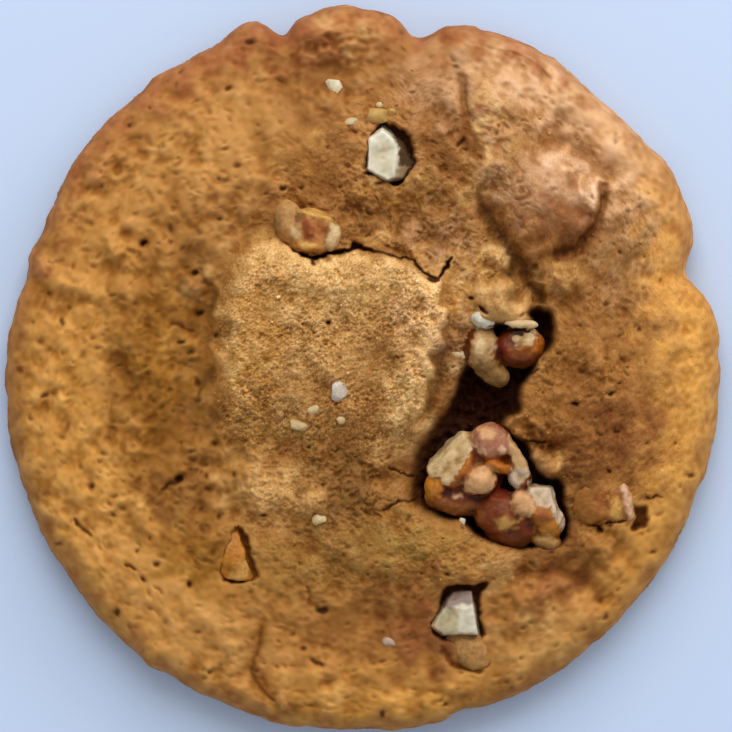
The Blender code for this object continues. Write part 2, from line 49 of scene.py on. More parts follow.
# ---- the cookie's own dimensions, mm, as in the part's source
MEAN_RADIUS = 43.3          # of the outline
WAIST_HEIGHT = 2.4          # height at which the edge is widest
FOOT_INSET = 3.4            # how far in from the edge the flat underside starts
EDGE_ROUNDING = 3.2         # width of the rounded edge, from above
CROWN_HEIGHT = 8.8          # plain crust in the middle, before its lumps and hollows
RIM_DROP = 1.6              # how much lower the plain crust is at the rim
RIM_START = 0.62            # share of the radius at which the crust starts to fall away
PLATEAU_HEIGHT = 12.2       # the lifted slab of crust in the middle
PLATEAU_DIP = 1.8           # how far the slab sinks towards its south end
PLATEAU_DIPS = (3.0, -11.0)     # y, where it starts to sink and where it has sunk fully
CREST_RISE = 1.7            # of the ridge along the slab's east edge
CREST_HALF_WIDTH = 2.4
CREST_FADE = 0.4            # share of its height that the ridge loses on its way south
MOAT_DEPTH = 1.5            # of the hollow round the slab's west side
MOAT_HALF_WIDTH = 2.4
MOAT_ENDS = (1.0, 0.6)      # share of its way where the hollow has ended, and where it is still full
TONGUE_RISE = 1.4           # of the tongue of crust south of the opening
CREVICE_FLOOR = 4.6         # the torn opening that holds the two large walnuts
CREVICE_BUMPS = (1.6, 0.25, 16)     # of that floor: distance between them mm, height mm, seed

# How softly an edge in the crust is rounded, as the mm that it is blurred by.
SLAB_EDGE = 0.3
SLAB_WEST_EDGE = 1.15
SLAB_SOUTH_EDGE = 2.2
LUMP_EDGE = 0.35
DOMING = 0.75               # 0.5 gives a lump the profile of an egg, 1 that of a parabola
FURROW_EDGE = 0.12
MOAT_EDGE = 0.8
TONGUE_EDGE = 0.8
CREVICE_EDGE = 0.25
CREVICE_WEST_EDGE = 0.7
# From where an edge starts to be as soft as its west or south end to where it is fully so.
SLAB_WEST = (-5.0, -15.0)
SLAB_SOUTH = (-3.0, -9.0)
CREVICE_WEST = (11.5, 8.5)

# ---- fineness
MAP_CELLS = 1152            # along each side of the height map
MAP_PITCH = 0.08
MAP_REACH = MAP_CELLS * MAP_PITCH / 2.0
DOUGH_CUTS = (62, 1, 1)     # of each edge of the cube that becomes the dough, one after another
TOP_SHARE = 0.93            # share of the way round that the upper skin takes, from pole to pole
SPREADING = 1.06            # above 1 the skin's points crowd towards the middle
LARGE_NUT_VOXEL = 0.16      # mm, the faces of the large walnut
SMALL_NUT_VOXEL = 0.12      # and of the other nuts and the chocolate
WAVE_COUNT = 48             # that make up a random field in space
WAVE_LENGTHS = (0.75, 1.4)      # of those, as shares of the distance between its bumps
BUMP_BAND = 0.45            # how much the bumps of a random field on the map differ in width
# How many of its own radii or half widths a soft shape is worked out to, and mm added to that.
SPOT_CUT = 2.6
SWELL_CUT = 2.8
GROOVE_CUT = 3.0
CUT_MARGIN = 1.5
PIT_CUT = 2.4
PIT_MARGIN = 0.5
PATCH_MARGIN = 2.5          # times the reach of the patches' wander

# ---- the outline: waves round the whole edge, then single lumps and notches
EDGE_WAVES = ((1, 0.75, 237.0), (2, 0.20, 60.0))    # waves, height mm, bearing of the crest
EDGE_LUMPS = (                                      # bearing, half width in degrees, height mm
    (16.0, 4.5, -2.5), (33.0, 7.0, 1.0), (62.0, 8.0, 0.8), (81.0, 3.6, -2.6), (94.0, 5.0, 0.9),
    (104.0, 2.2, -1.9), (109.0, 3.5, 1.1), (162.0, 14.0, -0.8), (234.0, 1.8, 0.6),
    (286.0, 3.0, -0.5),
)
EDGE_WOBBLE = 0.022         # mm, small waves on the outline
EDGE_WOBBLE_WAVES = range(9, 60, 3)     # how many of each go round
EDGE_WOBBLE_SEED = 21

# ---- places on the crust, mm
PLATEAU = (
    (-15.2, 13.2), (-12.4, 15.2), (-10.1, 15.1), (-9.4, 13.9), (-7.4, 13.3), (-6.3, 12.8), (-5.1, 12.8),
    (-4.8, 13.3), (-2.2, 13.9), (0.2, 13.5), (5.2, 12.7), (7.6, 10.4), (8.8, 9.9), (9.8, 5.0), (8.2, 0.8),
    (7.6, -2.5), (7.0, -6.0), (4.6, -9.5), (-1.0, -10.5), (-6.0, -10.4), (-10.5, -8.6), (-14.2, -9.6),
    (-16.8, -7.0), (-17.6, -1.5), (-17.4, 4.5), (-16.6, 9.0),
)
PLATEAU_CREST = ((10.0, 9.2), (8.6, 4.5), (7.2, 0.2), (6.4, -4.0), (5.2, -8.5))
PLATEAU_SWELLS = (          # laid out like SWELLS below
    (-3.0, 10.6, 11.0, 2.6, 0, 0.9), (-14.5, 2.0, 2.5, 10.0, 0, 0.4), (1.8, 1.0, 1.3, 2.6, 0, -0.5),
)
MOAT = ((-6.5, 21.8), (-11.2, 18.4), (-15.0, 14.2), (-17.8, 9.6), (-19.4, 4.0), (-19.6, -2.0), (-18.8, -8.0))
CREVICE = (
    (12.0, 0.2), (10.9, -3.4), (9.4, -5.8), (7.2, -8.4), (6.1, -11.0), (5.8, -15.6), (7.0, -17.2),
    (11.6, -18.3), (13.2, -20.0), (16.4, -21.4), (20.2, -21.8), (23.4, -21.3), (24.3, -18.8),
    (23.4, -15.0), (22.8, -13.6), (20.8, -13.1), (19.9, -11.8), (19.2, -9.8), (18.2, -8.7), (16.8, -8.2),
    (16.2, -7.2), (16.7, -6.2), (18.2, -5.6), (18.4, -2.6), (20.6, 0.8), (22.2, 2.6), (22.5, 5.0),
    (21.9, 6.6), (20.4, 7.2), (19.4, 6.2), (20.2, 5.4), (19.4, 4.7), (17.2, 4.7), (15.4, 5.0),
    (15.2, 4.2), (16.0, 3.4), (15.4, 1.6), (15.6, 0.4), (13.6, -0.6),
)
TONGUE = (
    (-8.0, -16.0), (0.0, -13.0), (5.8, -15.5), (9.0, -18.4), (13.5, -20.4), (18.0, -22.5), (19.0, -24.2),
    (14.5, -25.8), (8.0, -26.4), (1.0, -25.4), (-5.0, -22.0),
)

# Broad rises and hollows: x, y, radius across, radius along, turn in degrees, height mm.
SWELLS = (
    (-33.5, -2.0, 5.0, 22.0, 0, 0.6), (-23.0, 0.0, 7.0, 16.0, 0, -1.3), (-19.0, 27.0, 9.0, 6.0, 30, 0.7),
    (-26.0, -24.0, 9.0, 6.0, -40, 0.6), (5.0, 18.5, 6.5, 3.6, -14, -1.5),
    (-5.5, 35.0, 6.0, 3.0, 10, -1.2), (-3.0, 40.5, 6.0, 3.0, 0, 1.6), (-14.0, 40.2, 2.4, 2.0, 0, 0.9),
    (15.5, 31.0, 7.0, 6.0, -25, 2.0), (14.6, 27.0, 1.5, 5.5, -4, 0.9), (31.5, 22.0, 4.0, 9.0, 25, 1.4),
    (8.0, 29.0, 2.6, 5.5, 0, -0.9), (-2.0, 28.0, 4.0, 5.0, 0, 0.6), (-12.0, -14.5, 4.5, 4.0, 0, 1.3),
    (-20.0, -15.5, 5.0, 2.5, -10, -0.5), (-7.0, -38.0, 4.5, 4.0, 0, 0.8),
    (-10.0, -27.0, 6.0, 5.0, 0, 0.5), (-5.0, -32.0, 3.0, 4.0, 30, -0.7), (2.0, -30.0, 6.0, 3.6, 0, -0.9),
    (31.0, -1.0, 10.5, 13.5, 0, 3.3), (31.0, 10.5, 2.2, 5.0, -15, -1.2), (36.0, 5.0, 5.0, 7.0, 0, 0.8),
    (22.6, 10.4, 2.2, 1.8, 0, 0.8), (11.0, 1.5, 2.2, 4.5, -20, 1.0), (21.0, -29.0, 4.5, 3.5, 0, 1.0),
    (-8.0, 17.2, 5.0, 3.4, 0, 1.0), (29.0, 22.0, 1.4, 5.0, 12, 0.6), (19.8, -10.0, 2.2, 3.0, 35, -2.4),
    (18.5, 20.8, 4.5, 5.0, 0, 1.6), (-4.0, -14.0, 4.0, 4.0, 0, 0.5), (4.0, -12.0, 2.5, 5.0, 25, -0.6),
    (-16.4, -22.8, 2.8, 3.6, 12, -0.5), (29.4, -16.4, 4.0, 4.0, 0, 0.5), (20.5, 33.5, 3.5, 2.2, -35, 0.7),
    (-27.0, 12.0, 6.0, 6.0, 0, 0.4), (-31.0, -14.0, 4.0, 6.0, 20, 0.4),
    (-17.0, -32.0, 7.0, 4.0, -20, 0.5), (36.0, -14.0, 4.0, 6.0, -30, 0.6),
    (25.0, -33.0, 6.0, 3.0, 30, 0.4),
)
# Lumps with a clear edge, in the same order.
LUMPS = (
    (22.0, 19.6, 6.6, 6.8, 0, 3.8), (15.7, 13.1, 2.0, 2.2, 0, 2.1), (16.2, 7.4, 3.9, 2.6, -38, 2.9),
    (13.6, 8.0, 4.4, 3.6, -30, 1.4), (27.2, -21.8, 3.0, 3.0, 0, 1.6), (0.2, 20.4, 3.6, 1.3, 5, 0.9),
    (21.0, -11.4, 1.9, 1.5, -40, 3.4), (17.4, -7.2, 1.4, 1.3, 20, 1.6), (-18.8, -21.8, 0.6, 1.2, 10, 0.6),
    (5.0, 22.2, 1.8, 1.0, 0, 0.5), (13.3, 20.8, 1.5, 1.9, 10, 0.8), (14.6, 24.0, 1.4, 1.7, 0, 0.7),
    (23.4, 10.6, 2.5, 1.9, 20, 0.8), (29.9, 25.6, 2.3, 1.8, -30, 0.7), (20.4, 29.2, 1.9, 1.6, 0, 0.6),
    (18.9, 15.5, 1.7, 1.4, 0, 0.7), (8.0, 18.0, 2.3, 1.5, -20, 0.6), (14.6, 32.2, 1.7, 2.2, 0, 0.5),
    (8.2, 22.6, 1.4, 1.2, 0, 0.5), (26.2, 9.8, 1.6, 1.4, 0, 0.6),
)
# Furrows and splits: half width mm, depth mm, and the points that they run through.
FURROWS = (
    (0.6, 1.6, ((28.5, 22.0), (28.3, 19.6), (27.5, 17.4), (26.4, 15.6), (25.0, 14.2), (23.4, 13.7))),
    (0.5, 1.5, ((26.2, 15.4), (25.0, 14.3), (23.6, 13.6), (22.6, 13.7))),
    (1.6, 1.4, ((22.5, 27.4), (26.0, 26.0), (28.6, 23.4))),
    (1.0, 1.8, ((13.6, 20.5), (14.8, 17.6), (17.0, 14.6), (18.6, 12.0), (19.6, 9.6), (21.0, 8.0))),
    (0.6, 0.9, ((11.4, 34.6), (11.8, 31.0), (12.1, 28.5), (11.9, 25.6))),
    (0.9, 0.9, ((18.5, -25.2), (22.5, -24.5), (26.0, -25.5), (28.8, -28.0))),
    (0.25, 1.0, ((9.4, -34.0), (10.4, -35.6), (12.0, -36.5), (13.8, -36.6))),
    (0.9, 0.8, ((-12.5, -31.2), (-12.9, -33.6), (-13.8, -36.6), (-12.4, -39.0), (-10.2, -42.0))),
)

# Sockets in the crust, wider than the pieces that sit in them: depth mm and outline.
SOCKETS = (
    (2.4,
     ((0.1, 23.2), (0.2, 27.2), (1.4, 28.7), (2.2, 29.2), (3.3, 29.0), (4.5, 28.3), (5.4, 27.3),
      (5.7, 26.0), (5.7, 25.0), (6.1, 24.2), (5.3, 23.4), (4.3, 22.3), (3.2, 22.0), (1.2, 22.7))),
    (2.2,
     ((7.7, -31.2), (8.9, -29.2), (9.0, -27.2), (9.4, -26.3), (12.0, -26.2), (14.7, -26.0), (14.4, -26.8),
      (13.7, -27.1), (13.7, -29.0), (14.0, -31.0), (14.2, -32.6), (13.2, -33.0), (9.2, -32.8))),
    (1.6,
     ((-15.4, -19.3), (-14.9, -19.5), (-13.9, -22.0), (-13.3, -23.8), (-12.9, -25.2), (-13.5, -25.7),
      (-15.4, -26.1), (-17.1, -25.8), (-17.2, -24.2), (-16.5, -21.6))),
    (1.9,
     ((32.3, -16.6), (33.4, -16.8), (33.9, -18.4), (33.6, -19.2), (32.6, -20.0), (32.0, -19.8),
      (32.4, -18.2))),
)
SOCKET_EDGE = 0.12

# Hairline cracks, finer than the solids hold, in the order of FURROWS.
CRACKS = (
    (0.2, 2.2,
     ((-9.5, 15.1), (-9.2, 14.8), (-9.1, 14.3), (-8.6, 13.8), (-7.5, 13.4), (-6.5, 13.0), (-5.4, 13.1))),
    (0.16, 2.2, ((-5.4, 13.1), (-4.6, 13.5), (-3.6, 13.8), (-2.4, 13.9), (-1.6, 14.2), (-0.6, 14.2))),
    (0.3, 1.8, ((-1.5, 14.3), (-0.7, 14.3))), (0.24, 1.8, ((-9.5, 15.1), (-9.2, 14.7))),
    (0.24, 1.4, ((-6.5, 13.1), (-6.3, 12.3))),
    (0.15, 1.3, ((-0.6, 14.2), (0.5, 13.8), (2.2, 13.3), (5.0, 13.0))),
    (0.11, 1.1, ((5.0, 13.0), (5.8, 12.6), (6.8, 11.4), (8.0, 10.6))),
    (0.24, 1.6, ((7.5, 10.5), (8.4, 10.3))),
    (0.15, 1.4, ((8.4, 10.3), (8.9, 11.0), (9.5, 11.9), (10.2, 13.0))),
    (0.2, 1.4, ((3.2, 22.0), (3.6, 21.9), (4.2, 22.4), (4.9, 23.1))),
    (0.2, 1.0, ((-0.1, 23.2), (0.2, 23.0))), (0.13, 0.9, ((28.8, -18.9), (30.2, -18.6), (31.8, -18.3))),
    (0.15, 0.7, ((33.6, -16.0), (35.5, -15.7))),
    (0.16, 1.2, ((27.2, -18.9), (27.8, -19.3), (28.4, -19.6))),
    (0.2, 1.4, ((25.4, -17.0), (26.4, -17.7))), (0.14, 0.8, ((19.0, -8.9), (20.2, -9.1), (21.4, -8.9))),
    (0.13, 0.7, ((19.6, -0.9), (20.6, -0.5))), (0.13, 0.8, ((-28.8, -23.8), (-27.4, -24.6))),
    (0.1, 0.5, ((-25.4, -26.4), (-24.2, -27.2))), (0.16, 0.5, ((-23.5, 5.0), (-22.0, 4.4), (-20.5, 4.3))),
    (0.12, 0.7, ((2.5, -12.3), (4.0, -12.7), (5.8, -13.4))),
    (0.12, 0.7, ((2.3, -17.2), (3.8, -16.3), (6.0, -16.0))),
    (0.13, 0.6,
     ((-12.6, -31.5), (-12.8, -33.5), (-13.6, -35.5), (-13.9, -36.8), (-12.5, -38.8), (-11.0, -40.5))),
    (0.16, 0.5, ((-6.9, -26.4), (-6.6, -28.8))), (0.14, 0.35, ((12.0, 34.5), (11.8, 32.0), (12.3, 30.0))),
    (0.3, 0.7, ((11.8, 27.2), (11.2, 26.4))), (0.1, 0.4, ((32.0, 4.5), (33.5, 5.5))),
    (0.1, 0.4, ((28.2, -0.8), (30.8, -1.0))),
    (0.12, 0.4, ((13.0, 38.9), (16.0, 38.0), (19.0, 37.2), (21.0, 35.8), (23.0, 34.2))),
    (0.2, 0.7, ((-35.0, -18.6), (-33.0, -20.6))), (0.16, 0.8, ((-24.6, -14.9), (-22.6, -13.8))),
    (0.14, 0.6, ((-6.6, -35.2), (-5.2, -35.8))),
)

# Pits: x, y, radius across, radius along, turn in degrees, depth mm.
PITS = (
    (-26.5, 14.5, 0.44, 0.32, 20, 0.9), (-20.6, 11.0, 0.40, 0.32, 0, 0.9),
    (-20.0, 6.3, 0.40, 0.32, 0, 0.8), (-36.5, 5.3, 0.32, 0.56, 0, 0.6), (-40.0, 5.3, 0.40, 0.24, 0, 0.6),
    (-30.9, 9.1, 0.24, 0.48, 0, 0.4), (-22.5, 24.3, 0.72, 0.20, 35, 0.4),
    (-17.0, 22.0, 0.72, 0.24, 20, 0.3), (-16.5, 33.2, 0.40, 0.32, 0, 0.6),
    (-28.3, 29.0, 0.32, 0.28, 0, 0.6), (-23.5, 16.5, 0.36, 0.64, 0, 0.5),
    (-17.5, 17.4, 0.32, 0.16, 0, 0.6), (-22.2, 2.9, 0.40, 0.24, 0, 0.7),
    (-20.2, -2.1, 0.32, 0.64, 0, 0.6), (-18.0, 3.8, 0.24, 0.24, 0, 0.6),
    (-35.9, -7.5, 0.88, 0.28, 60, 0.4), (-22.5, -13.6, 0.36, 0.48, -35, 1.3),
    (-33.0, -14.4, 0.32, 0.32, 0, 0.6), (-28.1, -9.45, 0.24, 0.12, 0, 0.4),
    (-21.0, -10.3, 0.40, 0.20, 35, 0.5), (-24.3, -14.8, 0.32, 0.12, 15, 0.6),
    (-18.3, -9.4, 0.24, 0.24, 0, 0.6), (-19.3, -11.9, 0.48, 0.16, 0, 0.5),
    (-15.8, -13.1, 0.32, 0.32, 0, 0.6), (-12.3, -18.0, 0.40, 0.32, 0, 0.6),
    (-38.7, -3.8, 0.48, 0.32, 0, 0.6), (-30.4, -18.0, 0.40, 0.24, 0, 0.5),
    (-34.0, -19.6, 0.80, 0.24, -55, 0.4), (-37.0, -21.4, 0.48, 0.24, 0, 0.6),
    (-27.4, -22.1, 0.40, 0.16, 60, 0.6), (-26.0, -20.6, 0.24, 0.24, 0, 0.5),
    (-25.0, -23.8, 0.40, 0.32, 0, 0.6), (-26.7, -25.6, 0.32, 0.32, 0, 0.6),
    (-30.0, -29.6, 0.36, 0.56, 0, 0.6), (-20.9, -26.2, 0.32, 0.40, 0, 0.7),
    (-18.7, -36.8, 0.32, 0.32, 0, 0.6), (-5.1, -29.4, 0.64, 0.32, 0, 0.7),
    (-6.0, -35.5, 0.72, 0.24, -25, 0.5), (-7.4, -34.0, 0.32, 0.32, 0, 0.6),
    (-20.3, -32.0, 0.48, 0.16, 0, 0.5), (-4.5, 5.1, 0.34, 0.32, 0, 1.1), (25.0, -4.7, 0.40, 0.24, 0, 0.9),
    (29.5, -3.3, 0.32, 0.24, 0, 0.7), (30.0, -8.0, 0.40, 0.16, 0, 0.6), (29.0, -12.6, 0.32, 0.28, 0, 0.7),
    (39.0, -13.0, 0.40, 0.32, 0, 0.6), (34.5, -22.4, 0.48, 0.24, 0, 0.6),
    (30.4, 13.7, 0.20, 0.20, 0, 0.6), (33.3, 13.2, 0.16, 0.16, 0, 0.5), (34.3, 15.7, 0.16, 0.16, 0, 0.5),
    (9.6, -40.7, 0.28, 0.28, 0, 0.6), (2.2, -42.0, 0.24, 0.64, 0, 0.6), (4.5, 40.0, 0.40, 0.32, 0, 0.5),
    (-7.5, 41.8, 0.32, 0.32, 0, 0.5), (-14.0, 39.0, 0.56, 0.40, 0, 0.6), (12.6, 8.05, 0.34, 0.13, 0, 1.1),
    (14.0, 6.8, 0.68, 0.20, -25, 1.3), (-10.0, 21.5, 0.40, 0.28, 0, 0.6),
    (-8.0, 21.3, 0.32, 0.24, 0, 0.6), (1.8, 21.9, 0.64, 0.24, 0, 0.6),
)
PIT_EDGE = 0.05             # mm that every pit is softened by
PIT_DISHING = 0.3           # share of a pit's depth that is its dished rim
PIT_DISH = 1.8              # how many of its radii that rim spans
# Small pits and nicks strewn by a seeded draw: how many, half length mm, width as a share of the
# length, depth mm, whether they lie on the crumbly crust, seed.
STRAYS = (
    (60, (0.20, 0.40), (0.5, 0.8), (0.3, 0.6), False, 31),
    (1300, (0.16, 0.48), (0.32, 0.6), (0.14, 0.48), False, 32),
    (2400, (0.10, 0.34), (0.2, 0.45), (0.10, 0.30), True, 33),
    (50, (0.14, 0.26), (0.5, 1.0), (0.3, 0.6), True, 34),
)
STRAY_LEAN = 32.0           # degrees that they turn off the east-west line, as a spread
STRAY_REACH = 43.0          # mm from the middle

# Where the crust is crumbly and finely grained, most of all on the slab; the rest is smoother.
CRUMBLY = (
    (-10.0, 26.0), (-14.0, 17.0), (-18.5, 8.0), (-18.5, -6.0), (-14.0, -12.0), (-17.0, -20.0),
    (-8.0, -27.0), (8.0, -28.0), (22.0, -24.0), (30.0, -20.0), (40.0, -14.0), (43.0, 10.0),
    (38.0, 16.0), (28.0, 26.0), (14.0, 36.0), (4.0, 36.0), (-4.0, 30.0),
)
CRUMBLY_SHARE = 0.5         # how crumbly it is there, off the slab
CRUMBLY_EDGE = 1.6          # mm, how softly that crust ends
CRUMBLY_SLAB_EDGE = 1.0     # the same round the slab
CRUMBLY_LIMITS = (0.1, 0.6)     # below the first crust counts as smooth, and above the second as crumbly

# Where the crust is calm, laid out like PITS but with strength 0 to 1.
CALM = (
    (38.0, 2.0, 6.0, 15.0, 0, 0.9), (33.0, 27.0, 5.0, 8.0, 35, 0.7), (22.0, 20.5, 6.0, 6.5, 0, 0.75),
    (12.0, 34.0, 14.0, 6.0, -20, 0.55), (-12.0, 32.0, 11.0, 8.0, 20, 0.5),
    (-24.0, -27.0, 9.0, 8.0, 0, 0.5), (0.0, -34.0, 16.0, 8.0, 0, 0.45), (36.0, -18.0, 4.0, 9.0, -30, 0.5),
    (24.0, -33.0, 8.0, 4.0, 30, 0.4),
)

# Where the crust is broken into little clods, laid out like PITS but with strength 0 to 1.
CLODDY = (
    (17.0, 18.0, 2.4, 7.0, -12, 1.0), (3.0, 18.4, 9.0, 3.2, -8, 0.7), (14.5, 12.5, 5.0, 3.0, -25, 0.6),
    (-2.0, -14.0, 8.0, 5.0, 0, 0.8), (20.0, 10.0, 3.5, 3.0, 0, 0.6), (11.5, 2.0, 2.5, 5.5, -15, 0.7),
    (-8.0, -7.0, 4.0, 1.6, 0, 0.6), (13.0, -24.0, 8.0, 3.0, 10, 0.5), (26.0, -20.0, 5.0, 4.0, 0, 0.5),
    (-2.0, 30.0, 6.0, 4.0, 0, 0.35), (20.0, 30.0, 7.0, 4.0, -30, 0.35), (6.0, -33.0, 7.0, 4.0, 0, 0.3),
)

# Roughness of the crust: distance between bumps mm, height on smooth and on crumbly crust mm, seed.
ROUGHNESS = (
    (7.5, 0.23, 0.14, 6), (4.6, 0.14, 0.09, 7), (2.8, 0.080, 0.05, 8), (1.7, 0.050, 0.034, 9),
    (1.0, 0.026, 0.034, 10), (0.6, 0.008, 0.050, 11), (0.35, 0.0, 0.055, 16),
)
CREASES = (                 # cell width mm, depth on smooth, on crumbly and on cloddy crust mm, seed
    (2.3, 0.13, 0.05, 0.40, 12), (1.2, 0.03, 0.05, 0.24, 13),
)
CREASE_WIDTH = 0.36         # as a share of a cell
CELL_MIDDLES = (0.05, 0.95)     # where the middle of a cell can lie across its square
CREASE_BREAKS = (3.0, 0.55, 19)     # how creases fade here and there: size mm, share, seed
CREASE_LIMITS = (0.0, 1.5)
PATCHINESS = (9.0, 0.35, 18)    # how much rougher some stretches are: size mm, share, seed
PATCHINESS_LIMITS = (0.3, 1.9)
SMOOTH_BLUR = 0.10          # mm, how much softer relief is on the smooth crust
WANDER = ((3.4, 0.32, 14), (1.2, 0.16, 15))     # how outlines stray: size mm, reach mm, seed
NEARLY = 0.35               # share of that wander that grooves, pits, sockets and the torn opening take


# ---- rules for the height of the crust

def ease(low, high, value):
    t = np.clip((value - low) / (high - low), 0.0, 1.0)
    return t * t * (3.0 - 2.0 * t)


def ellipse_reach(x, y, cx, cy, across, along, turn):
    """Distance from the middle of an ellipse, counted in its own radii."""
    c, s = math.cos(math.radians(turn)), math.sin(math.radians(turn))
    dx, dy = x - cx, y - cy
    return np.hypot((dx * c + dy * s) / across, (dy * c - dx * s) / along)


def soft_ellipse(x, y, place):
    """1 in the middle of an ellipse, fading out past its edge."""
    return np.exp(-ellipse_reach(x, y, *place) ** 2)


def gap_to_path(x, y, path):
    """Distance to a line through the points, and the share of the line passed by then."""
    nearest = np.full(x.shape, np.inf)
    passed = np.zeros(x.shape)
    spans = len(path) - 1
    for i in range(spans):
        (ax, ay), (bx, by) = path[i], path[i + 1]
        ux, uy = bx - ax, by - ay
        t = np.clip(((x - ax) * ux + (y - ay) * uy) / (ux * ux + uy * uy), 0.0, 1.0)
        gap = np.hypot(x - ax - t * ux, y - ay - t * uy)
        passed = np.where(gap < nearest, (i + t) / spans, passed)
        nearest = np.minimum(gap, nearest)
    return nearest, passed


def inside(x, y, outline):
    """1 within a closed outline and 0 outside it."""
    hit = np.zeros(x.shape, bool)
    for (ax, ay), (bx, by) in zip(outline, outline[1:] + outline[:1]):
        crosses = (ay > y) != (by > y)
        hit ^= crosses & (x < (bx - ax) * (y - ay) / (by - ay if by != ay else 1.0) + ax)
    return hit.astype(float)


def edge_radius(bearing):
    """Radius of the outline at a bearing, both as arrays."""
    radius = np.full_like(bearing, MEAN_RADIUS)
    for count, height, crest in EDGE_WAVES:
        radius += height * np.cos(count * (bearing - math.radians(crest)))
    for at, half_width, height in EDGE_LUMPS:
        away = (np.degrees(bearing) - at + 180.0) % 360.0 - 180.0
        radius += height * np.exp(-(away / half_width) ** 2)
    return radius


def edge_wobble(bearing):
    """Small irregular waves on the outline, mm."""
    draw = np.random.default_rng(EDGE_WOBBLE_SEED)
    wobble = np.zeros_like(bearing)
    for count in EDGE_WOBBLE_WAVES:
        wobble += np.sin(count * bearing + draw.uniform(0, 2 * math.pi)) * draw.uniform(0.3, 1.0)
    return EDGE_WOBBLE * wobble


